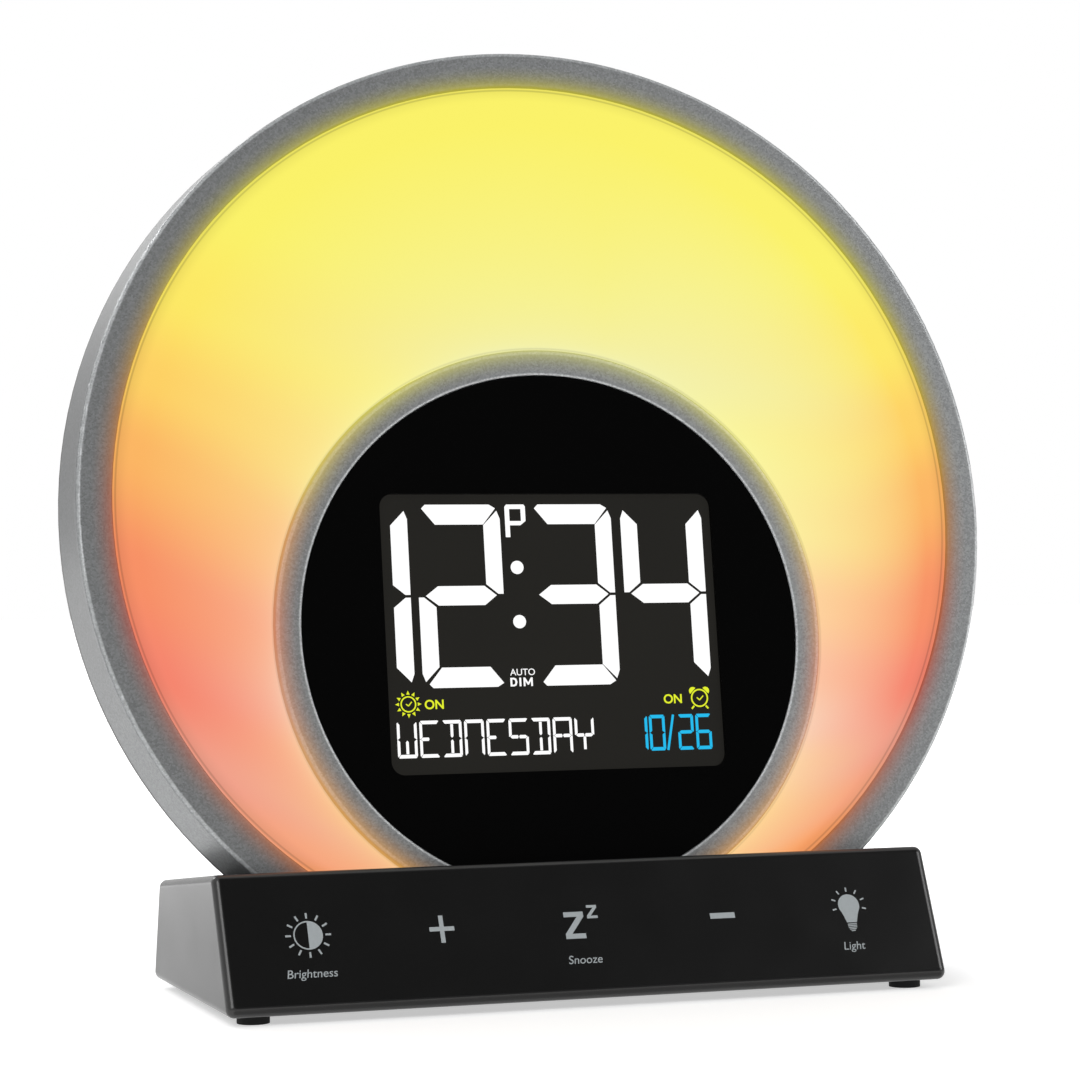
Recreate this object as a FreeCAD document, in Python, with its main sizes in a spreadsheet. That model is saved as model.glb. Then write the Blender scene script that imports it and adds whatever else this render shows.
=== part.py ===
import FreeCAD, Part
import math
import os
import re
import Sketcher

# A sunrise alarm clock: a round light panel that leans back out of a low black base.
# The origin is on the table under the middle of the clock, +Z up, and the display faces -Y.
# Disc pieces are drawn in the disc's own frame: X across, Y depth behind its face, Z up along it.

doc = FreeCAD.newDocument("sunrise_alarm_clock")
sheet = doc.addObject("Spreadsheet::Sheet", "Sizes")

SIZES = {
    # where the disc stands and how it leans back, in mm and degrees
    "lean_angle": 8.2,
    "disc_y": -2.5,
    "disc_z": 100.4,
    "disc_cut": 80.0,
    "display_drop": 25.55,
    "gap": 0.3,
    "slip": 0.1,
    # outer bezel, the silver ring and its side wall
    "bezel_front_radius": 98.9,
    "bezel_flare": 1.3,
    "bezel_depth": 15.1,
    "bezel_wall": 2.0,
    "bezel_face": 7.3,
    "bezel_lip_depth": 1.8,
    "bezel_edge_round": 0.8,
    "bezel_chamfer": 0.4,
    # diffuser, the moulded crescent that lights up
    "diffuser_recess": 0.5,
    "diffuser_gap": 1.4,
    "diffuser_thick": 2.4,
    # inner bezel, the silver ring round the display
    "inner_radius": 59.5,
    "inner_face": 5.4,
    "inner_tube_wall": 2.0,
    "inner_depth": 13.0,
    "inner_seat_width": 2.3,
    "inner_seat_thick": 1.4,
    "inner_ledge_width": 2.0,
    "inner_ledge_thick": 1.6,
    "inner_edge_round": 0.45,
    # display lens, the black disc with the window of the display
    "lens_gap": 0.2,
    "lens_recess": 0.15,
    "lens_thick": 1.15,
    "window_width": 72.9,
    "window_height": 58.1,
    "window_round": 2.8,
    "window_drop": 0.3,
    # the display module behind the lens
    "glass_width": 77.0,
    "glass_height": 62.0,
    "glass_thick": 2.2,
    "guide_thick": 3.0,
    "frame_wall": 1.5,
    "frame_floor": 1.2,
    "pin_radius": 0.25,
    "pin_pitch": 2.54,
    "pin_count": 24,
    "pin_room": 1.5,
    # main board and what is soldered on it
    "board_gap": 2.0,
    "board_thick": 1.6,
    "board_face": 9.0,
    "board_screw_x": 37.0,
    "board_screw_z": 36.5,
    "chip_side": 12.0,
    "chip_thick": 1.6,
    "chip_x": -16.0,
    "chip_z": 24.0,
    "capacitor_radius": 3.1,
    "capacitor_height": 4.0,
    "capacitor_gap": 2.0,
    "capacitor_z": 42.0,
    "crystal_radius": 1.5,
    "crystal_length": 6.0,
    "crystal_x": 2.0,
    "crystal_z": 26.0,
    "sensor_radius": 1.5,
    "sensor_up": 38.0,
    "connector_length": 12.0,
    "connector_width": 5.0,
    "connector_height": 3.6,
    "ribbon_socket_z": -52.0,
    "speaker_socket_x": 20.0,
    "speaker_socket_z": 34.0,
    "key_socket_x": -38.0,
    "key_socket_z": 8.0,
    # reflector tray and the lamp board in it
    "tray_gap": 1.9,
    "tray_wall": 1.2,
    "tray_floor": 13.4,
    "tray_boss_radius": 3.2,
    "tray_boss_end": 20.0,
    "led_board_gap": 1.3,
    "led_board_hole_gap": 2.0,
    "led_board_thick": 1.2,
    "led_side": 5.0,
    "led_thick": 1.6,
    "led_count": 22,
    "led_row_share": 0.5,
    "lamp_screw_inset": 4.5,
    # rear cover
    "cover_step": 0.3,
    "cover_back": 24.0,
    "cover_wall": 1.8,
    "cover_slope": 11.9,
    "cover_rim": 1.9,
    "cover_tongue": 1.7,
    "cover_screw_inset": 8.0,
    "cover_screw_count": 6,
    "screw_radius": 1.25,
    "screw_head_radius": 2.6,
    "screw_head_thick": 1.5,
    "small_screw_radius": 0.9,
    "small_head_radius": 1.8,
    "small_head_thick": 1.1,
    "post_wall": 2.0,
    # rear keys
    "key_length": 11.0,
    "key_height": 6.0,
    "key_proud": 1.2,
    "key_travel": 0.6,
    "key_flange": 1.0,
    "key_flange_thick": 1.2,
    "key_pitch_x": 22.0,
    "key_pitch_z": 16.0,
    "key_row_z": 4.0,
    "key_fit": 0.25,
    "key_board_width": 68.0,
    "key_board_height": 36.0,
    "key_board_face": 15.0,
    "key_board_thick": 1.2,
    "switch_side": 6.0,
    "switch_height": 3.6,
    # speaker behind its grille
    "speaker_z": 40.0,
    "speaker_radius": 20.0,
    "speaker_lip": 2.4,
    "speaker_height": 6.4,
    "magnet_radius": 11.0,
    "magnet_thick": 2.2,
    "gasket_thick": 0.6,
    "grille_hole": 1.1,
    "grille_pitch": 5.0,
    "grille_rings": 3,
    "lead_radius": 0.5,
    # backup cell
    "cell_z": -54.0,
    "cell_radius": 10.0,
    "cell_thick": 3.2,
    "cell_front": 17.3,
    "holder_side": 25.0,
    "holder_front": 15.2,
    "contact_thick": 0.3,
    "contact_width": 5.0,
    "door_width": 28.0,
    "door_height": 29.0,
    "door_thick": 1.5,
    "door_top": -41.4,
    "door_screw_z": -67.2,
    "door_screw_length": 6.0,
    # base
    "foot_height": 1.8,
    "foot_radius": 3.25,
    "foot_x": 69.2,
    "foot_front_y": -26.1,
    "foot_back_y": 26.0,
    "base_front_y": -34.1,
    "base_back_y": 34.1,
    "base_front_width": 151.4,
    "base_back_width": 155.0,
    "front_height": 26.66,
    "back_height": 21.34,
    "front_slope": 26.0,
    "back_slope": 15.3,
    "base_wall": 2.4,
    "base_round": 1.7,
    "plate_thick": 2.0,
    "boss_radius": 3.0,
    "boss_front_x": 68.0,
    "boss_front_y": -16.0,
    "boss_back_x": 62.0,
    "boss_back_y": 18.0,
    "base_screw_length": 10.0,
    "stand_post_radius": 4.2,
    "stand_screw_depth": 19.3,
    "stand_screw_head": 84.0,
    "stand_screw_end": 72.0,
    "stand_boss_end": 71.0,
    "stand_pitch": 32.0,
    # touch keys behind the front face
    "touch_pad_radius": 7.0,
    "touch_pad_thick": 0.5,
    "touch_pitch": 28.6,
    "touch_up": 15.6,
    "touch_board_length": 132.0,
    "touch_board_height": 18.0,
    "touch_board_thick": 1.0,
    # power board, its inlet and the charging port
    "power_board_length": 76.0,
    "power_board_width": 16.5,
    "power_board_thick": 1.6,
    "power_board_y": 11.5,
    "power_board_z": 6.0,
    "jack_x": -22.0,
    "jack_side": 9.0,
    "jack_height": 11.0,
    "jack_body_depth": 12.0,
    "jack_barrel_radius": 4.0,
    "jack_bore_radius": 2.9,
    "jack_bore_depth": 10.0,
    "jack_pin_radius": 1.0,
    "port_x": 22.0,
    "port_width": 13.1,
    "port_height": 5.7,
    "port_depth": 14.0,
    "port_wall": 0.4,
    "tongue_width": 11.0,
    "tongue_thick": 1.8,
    "ribbon_width": 12.0,
    "ribbon_low": 94.0,
    "ribbon_thick": 0.4,
    "ribbon_depth": 13.0,
}

for row, (alias, size) in enumerate(SIZES.items(), start=1):
    sheet.set("A%d" % row, alias)
    sheet.set("B%d" % row, str(size))
    sheet.setAlias("B%d" % row, alias)
doc.recompute()

PIECES = {}
MATHS = ("sin", "cos", "tan", "sqrt")
FAR = "400"


def val(alias):
    """A size read back from the sheet."""
    return float(sheet.get(alias))


def total(text):
    """A sum of sizes, such as the ring radii below, worked out from the sheet."""
    terms = re.findall(r"([+-]?) ?([a-z_]+)", text)
    return sum(-val(word) if sign == "-" else val(word) for sign, word in terms)


def tied(text):
    """Turns words into references to the sheet."""
    return re.sub("[a-z_]+", lambda m: m.group(0) if m.group(0) in MATHS else "Sizes." + m.group(0), str(text))


def bind(thing, **sizes):
    for name, text in sizes.items():
        thing.setExpression(name.replace("__", "."), tied(text))
    return thing


def put(thing, x, y, z):
    return bind(thing, Placement__Base__x=x, Placement__Base__y=y, Placement__Base__z=z)


def lean(thing, up="0"):
    """Sets a finished piece into the leaning disc, its own origin moved up along the disc."""
    thing.Placement = FreeCAD.Placement(FreeCAD.Vector(), FreeCAD.Rotation(FreeCAD.Vector(-1, 0, 0), 1))
    bind(thing, Placement__Rotation__Angle="lean_angle")
    return put(thing, "0", "disc_y + (%s) * sin(lean_angle)" % up, "disc_z + (%s) * cos(lean_angle)" % up)


def face_lean(thing):
    """Sets a piece behind the sloping front face of the base, drawn from its lower edge."""
    thing.Placement = FreeCAD.Placement(FreeCAD.Vector(), FreeCAD.Rotation(FreeCAD.Vector(-1, 0, 0), 1))
    bind(thing, Placement__Rotation__Angle="front_slope")
    return put(thing, "0", "base_front_y", "foot_height")


def piece(label, thing):
    thing.Label = label
    PIECES[label] = thing
    return thing


def block(name, x, y, z, width, depth, height):
    """A box centred on x, from y back and from z up."""
    box = bind(doc.addObject("Part::Box", name), Length=width, Width=depth, Height=height)
    return put(box, "(%s) - (%s) / 2" % (x, width), y, z)


def rod(name, x, y, z, radius, length, along="y"):
    """A cylinder from a point along +Y or +Z."""
    cylinder = bind(doc.addObject("Part::Cylinder", name), Radius=radius, Height=length)
    if along == "y":
        cylinder.Placement = FreeCAD.Placement(FreeCAD.Vector(), FreeCAD.Rotation(FreeCAD.Vector(1, 0, 0), -90))
    return put(cylinder, x, y, z)


def join(name, parts):
    fuse = doc.addObject("Part::MultiFuse", name)
    fuse.Shapes = parts
    return fuse


def group(name, parts):
    compound = doc.addObject("Part::Compound", name)
    compound.Links = parts
    return compound


def take(name, base, tool):
    cut = doc.addObject("Part::Cut", name)
    cut.Base = base
    cut.Tool = tool if not isinstance(tool, list) else group(name + "_tools", tool)
    return cut


def body(label):
    return piece(label, doc.addObject("PartDesign::Body", label + "_body"))


def sketch(owner, name, role, points=(), circles=(), depth=None):
    """A sketch on one of the body's origin planes: a closed outline of tied points, and tied circles."""
    drawing = owner.newObject("Sketcher::SketchObject", name)
    plane = [f for f in owner.Origin.OriginFeatures if f.Role == role][0]
    drawing.AttachmentSupport = [(plane, "")]
    drawing.MapMode = "FlatFace"
    if depth is not None:
        bind(drawing, AttachmentOffset__Base__z="-(%s)" % depth)
    count = len(points)
    for i in range(count):
        ends = [FreeCAD.Vector(math.cos(2 * math.pi * k / count), math.sin(2 * math.pi * k / count), 0)
                for k in (i, i + 1)]
        drawing.addGeometry(Part.LineSegment(*ends), False)
    for i in range(count):
        drawing.addConstraint(Sketcher.Constraint("Coincident", i, 2, (i + 1) % count, 1))
    for i, (x, y) in enumerate(points):
        for kind, text in (("DistanceX", x), ("DistanceY", y)):
            index = drawing.addConstraint(Sketcher.Constraint(kind, -1, 1, i, 1, 1.0))
            drawing.setExpression("Constraints[%d]" % index, tied(text))
    for x, y, radius in circles:
        i = drawing.addGeometry(Part.Circle(FreeCAD.Vector(), FreeCAD.Vector(0, 0, 1), 1), False)
        for kind, text in (("DistanceX", x), ("DistanceY", y)):
            index = drawing.addConstraint(Sketcher.Constraint(kind, -1, 1, i, 3, 1.0))
            drawing.setExpression("Constraints[%d]" % index, tied(text))
        index = drawing.addConstraint(Sketcher.Constraint("Radius", i, 1.0))
        drawing.setExpression("Constraints[%d]" % index, tied(radius))
    return drawing


def revolve(owner, name, points):
    """A ring or plate turned about the depth axis, from a section of radius and depth."""
    turned = owner.newObject("PartDesign::Revolution", name)
    section = sketch(owner, name + "_section", "XY_Plane", points)
    turned.Profile = section
    turned.ReferenceAxis = (section, ["V_Axis"])
    turned.Angle = 360
    return turned


def pad(owner, name, drawing, length, **flags):
    solid = owner.newObject("PartDesign::Pad", name)
    solid.Profile = drawing
    for flag, state in flags.items():
        setattr(solid, flag, state)
    return bind(solid, Length=length)


def pocket(owner, name, drawing):
    """Cuts a sketch right through, both ways."""
    hollow = owner.newObject("PartDesign::Pocket", name)
    hollow.Profile = drawing
    hollow.SideType = "Symmetric"
    return bind(hollow, Length=FAR)


def around(ring, angle):
    """A place on a ring, at an angle in degrees."""
    return "(%s) * cos(%d)" % (ring, angle), "(%s) * sin(%d)" % (ring, angle)


def box_points(x_low, x_high, z_low, z_high):
    return [(x_low, z_low), (x_high, z_low), (x_high, z_high), (x_low, z_high)]


def crop_bottom(owner, name, up="0"):
    """Cuts a disc piece flat where it ends inside the base."""
    low = "-disc_cut - (%s)" % up
    return pocket(owner, name, sketch(owner, name + "_outline", "XZ_Plane", box_points("-300", "300", "-300", low)))


def soften(owner, name, feature, test, radius):
    """Rounds the edges that pass a test."""
    doc.recompute()
    names = ["Edge%d" % (i + 1) for i, edge in enumerate(feature.Shape.Edges) if test(edge)]
    fillet = owner.newObject("PartDesign::Fillet", name)
    fillet.Base = (feature, names)
    return bind(fillet, Radius=radius)


def ring_edge(radius, depth):
    """A test for a whole circle of a given radius at a given depth."""
    def test(edge):
        curve = edge.Curve
        return (isinstance(curve, Part.Circle) and abs(curve.Radius - radius) < 0.01
                and abs(curve.Center.y - depth) < 0.01)
    return test


def screws(label, places, seat, head_radius, head_thick, shank_radius, length):
    """Like screws as separate solids: heads towards +Y of their seats, shanks towards -Y."""
    parts = []
    for x, z in places:
        head = Part.makeCylinder(head_radius, head_thick, FreeCAD.Vector(x, seat, z), FreeCAD.Vector(0, 1, 0))
        head = head.makeFillet(head_thick * 0.4, [head.Edges[0]]) if head_thick > 0 else head
        slot = [Part.makeBox(a, head_thick, b, FreeCAD.Vector(x - a / 2, seat + head_thick * 0.45, z - b / 2))
                for a, b in ((head_radius * 1.2, head_radius * 0.3), (head_radius * 0.3, head_radius * 1.2))]
        shank = Part.makeCylinder(shank_radius, length, FreeCAD.Vector(x, seat - length, z), FreeCAD.Vector(0, 1, 0))
        parts.append(head.cut(slot).fuse(shank).removeSplitter())
    thing = doc.addObject("Part::Feature", label + "_set")
    thing.Shape = Part.makeCompound(parts)
    return piece(label, thing)


def solids(label, shapes):
    thing = doc.addObject("Part::Feature", label + "_set")
    thing.Shape = shapes[0] if len(shapes) == 1 else Part.makeCompound(shapes)
    return piece(label, thing)


# The radii of the rings, each worked out from the one that it fits: the silver ring leads, and the tray, the
# lamp board and the rear cover follow it inwards.
BEZEL_BACK = "bezel_front_radius + bezel_flare"
BEZEL_INSIDE = "bezel_front_radius - bezel_wall"
BEZEL_LIP = "bezel_front_radius - bezel_face"
INNER_LIP = "inner_radius - inner_face"
TRAY_EDGE = BEZEL_INSIDE + " - tray_gap"
LAMP_BOARD_EDGE = TRAY_EDGE + " - tray_wall - led_board_gap"
LAMP_SCREW_RING = LAMP_BOARD_EDGE + " - lamp_screw_inset"
COVER_EDGE = BEZEL_BACK + " - cover_step"
COVER_FLAT = COVER_EDGE + " - cover_slope"
COVER_SCREW_RING = COVER_FLAT + " - cover_screw_inset"

# Outer bezel: a deep painted ring. Its front flange holds the diffuser, and its side wall widens to the back.
bezel = body("outer_bezel")
ring = revolve(bezel, "bezel_ring", [
    (BEZEL_LIP + " + bezel_chamfer", "0"),
    ("bezel_front_radius", "0"),
    (BEZEL_BACK, "bezel_depth"),
    (BEZEL_BACK + " - bezel_wall", "bezel_depth"),
    (BEZEL_INSIDE, "bezel_lip_depth"),
    (BEZEL_LIP, "bezel_lip_depth"),
    (BEZEL_LIP, "bezel_chamfer"),
])
soften(bezel, "bezel_edge", ring, ring_edge(val("bezel_front_radius"), 0), "bezel_edge_round")
crop_bottom(bezel, "bezel_foot")
lean(bezel)

# Diffuser: a milky plate with a raised face that fills the ring, open where the display sits.
diffuser = body("diffuser")
revolve(diffuser, "diffuser_plate", [
    ("0", "diffuser_recess"),
    (BEZEL_LIP + " - gap", "diffuser_recess"),
    (BEZEL_LIP + " - gap", "bezel_lip_depth"),
    (BEZEL_INSIDE + " - diffuser_gap", "bezel_lip_depth"),
    (BEZEL_INSIDE + " - diffuser_gap", "bezel_lip_depth + diffuser_thick"),
    ("0", "bezel_lip_depth + diffuser_thick"),
])
pocket(diffuser, "diffuser_opening",
       sketch(diffuser, "diffuser_hole", "XZ_Plane", circles=[("0", "-display_drop", "inner_radius + gap")]))
crop_bottom(diffuser, "diffuser_foot")
lean(diffuser)

# Inner bezel: a ring and tube round the display. A ledge behind holds the diffuser, a seat inside holds the lens.
DIFFUSER_BACK = "(bezel_lip_depth + diffuser_thick)"
SEAT = "(lens_recess + lens_thick)"
inner = body("inner_bezel")
inner_ring = revolve(inner, "inner_ring", [
    (INNER_LIP, "0"),
    ("inner_radius", "0"),
    ("inner_radius", DIFFUSER_BACK),
    ("inner_radius + inner_ledge_width", DIFFUSER_BACK),
    ("inner_radius + inner_ledge_width", DIFFUSER_BACK + " + inner_ledge_thick"),
    ("inner_radius", DIFFUSER_BACK + " + inner_ledge_thick"),
    ("inner_radius", "inner_depth"),
    ("inner_radius - inner_tube_wall", "inner_depth"),
    ("inner_radius - inner_tube_wall", SEAT + " + inner_seat_thick"),
    (INNER_LIP + " - inner_seat_width", SEAT + " + inner_seat_thick"),
    (INNER_LIP + " - inner_seat_width", SEAT),
    (INNER_LIP, SEAT),
])
soften(inner, "inner_edge", inner_ring, ring_edge(val("inner_radius"), 0), "inner_edge_round")
crop_bottom(inner, "inner_foot", "-display_drop")
lean(inner, "-display_drop")

# Display lens: a flat black disc in the inner ring, with a round-cornered window.
lens = body("display_lens")
pad(lens, "lens_disc", sketch(lens, "lens_outline", "XZ_Plane", circles=[("0", "0", INNER_LIP + " - lens_gap")],
                              depth="lens_recess"), "lens_thick", Reversed=True)
window = pocket(lens, "lens_window", sketch(lens, "window_outline", "XZ_Plane", box_points(
    "-window_width / 2", "window_width / 2",
    "-window_drop - window_height / 2", "-window_drop + window_height / 2")))
soften(lens, "window_corners", window,
       lambda edge: isinstance(edge.Curve, Part.Line) and abs(abs(edge.Curve.Direction.y) - 1) < 0.001
       and abs(abs(edge.CenterOfMass.x) - val("window_width") / 2) < 0.01, "window_round")
crop_bottom(lens, "lens_foot", "-display_drop")
lean(lens, "-display_drop")

# Display module: two glasses, the light guide behind them, the frame that holds both, and a row of pins.
GLASS_FRONT = "(%s + slip)" % SEAT
GLASS_BACK = "(%s + glass_thick)" % GLASS_FRONT
GUIDE_FRONT = "(%s + gap)" % GLASS_BACK
GUIDE_BACK = "(%s + guide_thick)" % GUIDE_FRONT
DISPLAY = "-display_drop"
glass = block("glass_block", "0", GLASS_FRONT, "-window_drop - glass_height / 2",
              "glass_width", "glass_thick", "glass_height")
lean(piece("lcd_glass", group("glass_set", [glass])), DISPLAY)
guide = block("guide_block", "0", GUIDE_FRONT, "-window_drop - glass_height / 2",
              "glass_width", "guide_thick", "glass_height")
lean(piece("backlight_guide", group("guide_set", [guide])), DISPLAY)

FRAME_FRONT = "(%s + inner_seat_thick + slip)" % SEAT
FRAME_BACK = "(%s + frame_floor)" % GUIDE_BACK
FRAME_WIDTH = "(glass_width + 2 * gap + 2 * frame_wall)"
FRAME_LOW = "(-window_drop - glass_height / 2 - gap - pin_room - frame_wall)"
FRAME_HIGH = "(-window_drop + glass_height / 2 + gap + frame_wall)"
frame_outer = block("frame_outer", "0", FRAME_FRONT, FRAME_LOW, FRAME_WIDTH,
                    "%s - %s" % (FRAME_BACK, FRAME_FRONT), "%s - %s" % (FRAME_HIGH, FRAME_LOW))
frame_room = block("frame_room", "0", FRAME_FRONT + " - 1", FRAME_LOW + " + frame_wall", "glass_width + 2 * gap",
                   "%s - %s + 1" % (GUIDE_BACK, FRAME_FRONT), "glass_height + 2 * gap + pin_room")
pin_slot = block("frame_pin_slot", "0", FRAME_FRONT + " - 1", FRAME_LOW + " + frame_wall",
                 "(pin_count + 1) * pin_pitch", "board_face", "pin_room + gap + slip")
frame_posts = [rod("frame_post_%d_%d" % (sx, sz), "%d * board_screw_x" % sx, FRAME_BACK + " - frame_floor",
                   "%d * board_screw_z" % sz if sz > 0 else "-window_drop - board_screw_z",
                   "small_screw_radius + post_wall", "board_face - %s + frame_floor" % FRAME_BACK)
               for sx in (-1, 1) for sz in (-1, 1)]
frame_ears = [block("frame_ear_%d" % sx, "%d * board_screw_x" % sx, FRAME_BACK + " - frame_floor",
                    "-window_drop - board_screw_z - small_screw_radius - post_wall",
                    "2 * (small_screw_radius + post_wall)", "frame_floor",
                    "2 * board_screw_z + 2 * (small_screw_radius + post_wall)") for sx in (-1, 1)]
frame_holes = [rod("frame_hole_%d_%d" % (sx, sz), "%d * board_screw_x" % sx, "board_face - 3",
                   "%d * board_screw_z" % sz if sz > 0 else "-window_drop - board_screw_z",
                   "small_screw_radius + slip", "4") for sx in (-1, 1) for sz in (-1, 1)]
frame_solid = join("frame_solid", [take("frame_open", frame_outer, [frame_room, pin_slot])] + frame_posts + frame_ears)
lean(piece("lcd_frame", take("frame_drilled", frame_solid, frame_holes)), DISPLAY)

pin_z = -val("window_drop") - val("glass_height") / 2 - val("pin_radius")
pin_front = val("lens_recess") + val("lens_thick") + val("slip") + 0.6
pins = [Part.makeCylinder(val("pin_radius"), val("board_face") - pin_front,
                          FreeCAD.Vector((i - (val("pin_count") - 1) / 2) * val("pin_pitch"), pin_front, pin_z),
                          FreeCAD.Vector(0, 1, 0)) for i in range(int(val("pin_count")))]
lean(solids("lcd_pins", pins), DISPLAY)

# Main board: a round board behind the display, with its chip, capacitors, crystal and sockets on the back.
BOARD_BACK = "(board_face + board_thick)"
SCREW_PLACES = [(sx * val("board_screw_x"), val("board_screw_z") if sz > 0 else -val("window_drop") - val("board_screw_z"))
                for sx in (-1, 1) for sz in (-1, 1)]
board = body("main_board")
pad_sketch = sketch(board, "board_outline", "XZ_Plane", circles=[("0", "0", "inner_radius - inner_tube_wall - board_gap")] + [
    ("%d * board_screw_x" % sx, "board_screw_z" if sz > 0 else "-window_drop - board_screw_z",
     "small_screw_radius + slip") for sx in (-1, 1) for sz in (-1, 1)], depth="board_face")
pad(board, "board_disc", pad_sketch, "board_thick", Reversed=True)
crop_bottom(board, "board_foot", DISPLAY)
lean(board, DISPLAY)

board_screw_length = val("board_thick") + 2.4
lean(screws("main_board_screws", SCREW_PLACES, val("board_face") + val("board_thick"), val("small_head_radius"),
            val("small_head_thick"), val("small_screw_radius"), board_screw_length), DISPLAY)
chip = block("chip_block", "chip_x", BOARD_BACK, "chip_z", "chip_side", "chip_thick", "chip_side")
lean(piece("controller_chip", group("chip_set", [chip])), DISPLAY)
capacitors = [rod("capacitor_%d" % k, "%d * (2 * capacitor_radius + capacitor_gap)" % k, BOARD_BACK, "capacitor_z",
                  "capacitor_radius", "capacitor_height") for k in (-1, 0, 1)]
lean(piece("capacitors", group("capacitor_set", capacitors)), DISPLAY)
crystal = rod("crystal_can", "crystal_x", BOARD_BACK + " + crystal_radius", "crystal_z", "crystal_radius", "crystal_length", "z")
lean(piece("clock_crystal", group("crystal_set", [crystal])), DISPLAY)
sockets = [block("socket_%d" % k, x, BOARD_BACK, z, "connector_length", "connector_height", "connector_width")
           for k, (x, z) in enumerate((("0", "ribbon_socket_z"), ("speaker_socket_x", "speaker_socket_z"),
                                    ("key_socket_x", "key_socket_z")))]
lean(piece("board_sockets", group("socket_set", sockets)), DISPLAY)
sensor_dome = rod("sensor_dome", "0", SEAT + " + gap", "sensor_up", "sensor_radius", "3")
sensor_stem = rod("sensor_stem", "0", SEAT + " + gap", "sensor_up", "sensor_radius / 2",
                  "board_face - %s - gap" % SEAT)
lean(piece("light_sensor", join("sensor_whole", [sensor_dome, sensor_stem])), DISPLAY)

# Reflector tray: a white tray behind the diffuser, with bosses on its back for the cover's screws.
tray = body("reflector_tray")
revolve(tray, "tray_pan", [
    ("0", "tray_floor"),
    (TRAY_EDGE + " - tray_wall", "tray_floor"),
    (TRAY_EDGE + " - tray_wall", DIFFUSER_BACK),
    (TRAY_EDGE, DIFFUSER_BACK),
    (TRAY_EDGE, "tray_floor + tray_wall"),
    ("0", "tray_floor + tray_wall"),
])
cover_angles = [20, 72, 108, 160, 200, 340]
COVER_PLACES = [around(COVER_SCREW_RING, a) for a in cover_angles]
LAMP_PLACES = [around(LAMP_SCREW_RING, a) for a in (45, 135, 0, 180)]
tray_bosses = [rod("tray_boss_%d" % k, x, "tray_floor", z, "tray_boss_radius", "tray_boss_end - tray_floor")
               for k, (x, z) in enumerate(COVER_PLACES)]
tray_holes = [rod("tray_hole_%d" % k, x, "tray_floor + tray_wall", z, "screw_radius + slip", "20")
              for k, (x, z) in enumerate(COVER_PLACES)]
lamp_holes = [rod("lamp_hole_%d" % k, x, "tray_floor - 1", z, "small_screw_radius + slip", "5")
              for k, (x, z) in enumerate(LAMP_PLACES)]
pocket(tray, "tray_opening",
       sketch(tray, "tray_hole", "XZ_Plane", circles=[("0", "-display_drop", "inner_radius + inner_ledge_width + gap")]))
crop_bottom(tray, "tray_foot")
PIECES.pop("reflector_tray")
tray.Label = "tray_pan_body"
tray_solid = join("tray_solid", [tray] + tray_bosses)
lean(piece("reflector_tray", take("tray_drilled", tray_solid, tray_holes + lamp_holes)))

# Lamp board: a crescent board on the tray's floor, with a row of colour lamps.
lamp_board = body("led_board")
pad(lamp_board, "lamp_disc", sketch(lamp_board, "lamp_outline", "XZ_Plane", circles=[
    ("0", "0", LAMP_BOARD_EDGE)] + [(x, z, "small_screw_radius + slip") for x, z in LAMP_PLACES],
    depth="tray_floor - led_board_thick"), "led_board_thick", Reversed=True)
LAMP_HOLE = "inner_radius + inner_ledge_width + led_board_hole_gap"
pocket(lamp_board, "lamp_opening",
       sketch(lamp_board, "lamp_hole", "XZ_Plane", circles=[("0", "-display_drop", LAMP_HOLE)]))
crop_bottom(lamp_board, "lamp_foot")
lean(lamp_board)

lamp_face = val("tray_floor") - val("led_board_thick")
hole_radius = total(LAMP_HOLE)
lamps = []
for i in range(int(val("led_count"))):
    angle = math.radians(-28 + 236 * i / (val("led_count") - 1))
    drop = val("display_drop")
    rise = math.sin(angle)
    near = -drop * rise + math.sqrt(hole_radius ** 2 - (drop * math.cos(angle)) ** 2)
    radius = near + (total(LAMP_BOARD_EDGE) - near) * val("led_row_share")
    side = val("led_side")
    lamp = Part.makeBox(side, val("led_thick"), side, FreeCAD.Vector(-side / 2, lamp_face - val("led_thick"), -side / 2))
    lamp.Placement = FreeCAD.Placement(FreeCAD.Vector(radius * math.cos(angle), 0, radius * rise),
                                       FreeCAD.Rotation(FreeCAD.Vector(0, 1, 0), -math.degrees(angle)))
    lamps.append(lamp)
lean(solids("leds", lamps))
lamp_screw_parts = []
for a in (45, 135, 0, 180):
    x = total(LAMP_SCREW_RING) * math.cos(math.radians(a))
    z = total(LAMP_SCREW_RING) * math.sin(math.radians(a))
    head = Part.makeCylinder(val("small_head_radius"), val("small_head_thick"),
                             FreeCAD.Vector(x, lamp_face - val("small_head_thick"), z), FreeCAD.Vector(0, 1, 0))
    shank = Part.makeCylinder(val("small_screw_radius"), val("led_board_thick") + val("tray_wall"),
                              FreeCAD.Vector(x, lamp_face, z), FreeCAD.Vector(0, 1, 0))
    lamp_screw_parts.append(head.fuse(shank))
lean(solids("led_board_screws", lamp_screw_parts))

# Rear cover: a shallow black dish behind the ring, with the key holes, the grille and the battery opening.
COVER_INNER = "(cover_back - cover_wall)"
cover = body("rear_cover")
cover_dish = revolve(cover, "cover_dish", [
    ("0", "cover_back"),
    (COVER_FLAT, "cover_back"),
    (COVER_EDGE, "bezel_depth + cover_rim"),
    (COVER_EDGE, "bezel_depth"),
    (BEZEL_BACK + " - bezel_wall - gap", "bezel_depth"),
    (BEZEL_BACK + " - bezel_wall - gap", "bezel_depth - cover_tongue"),
    (BEZEL_BACK + " - 2 * bezel_wall", "bezel_depth - cover_tongue"),
    (BEZEL_BACK + " - 2 * bezel_wall", "bezel_depth + cover_rim"),
    (COVER_FLAT + " - cover_wall", COVER_INNER),
    ("0", COVER_INNER),
])
soften(cover, "cover_edge", cover_dish, ring_edge(total(COVER_FLAT), val("cover_back")), "cover_wall * 3")
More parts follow.
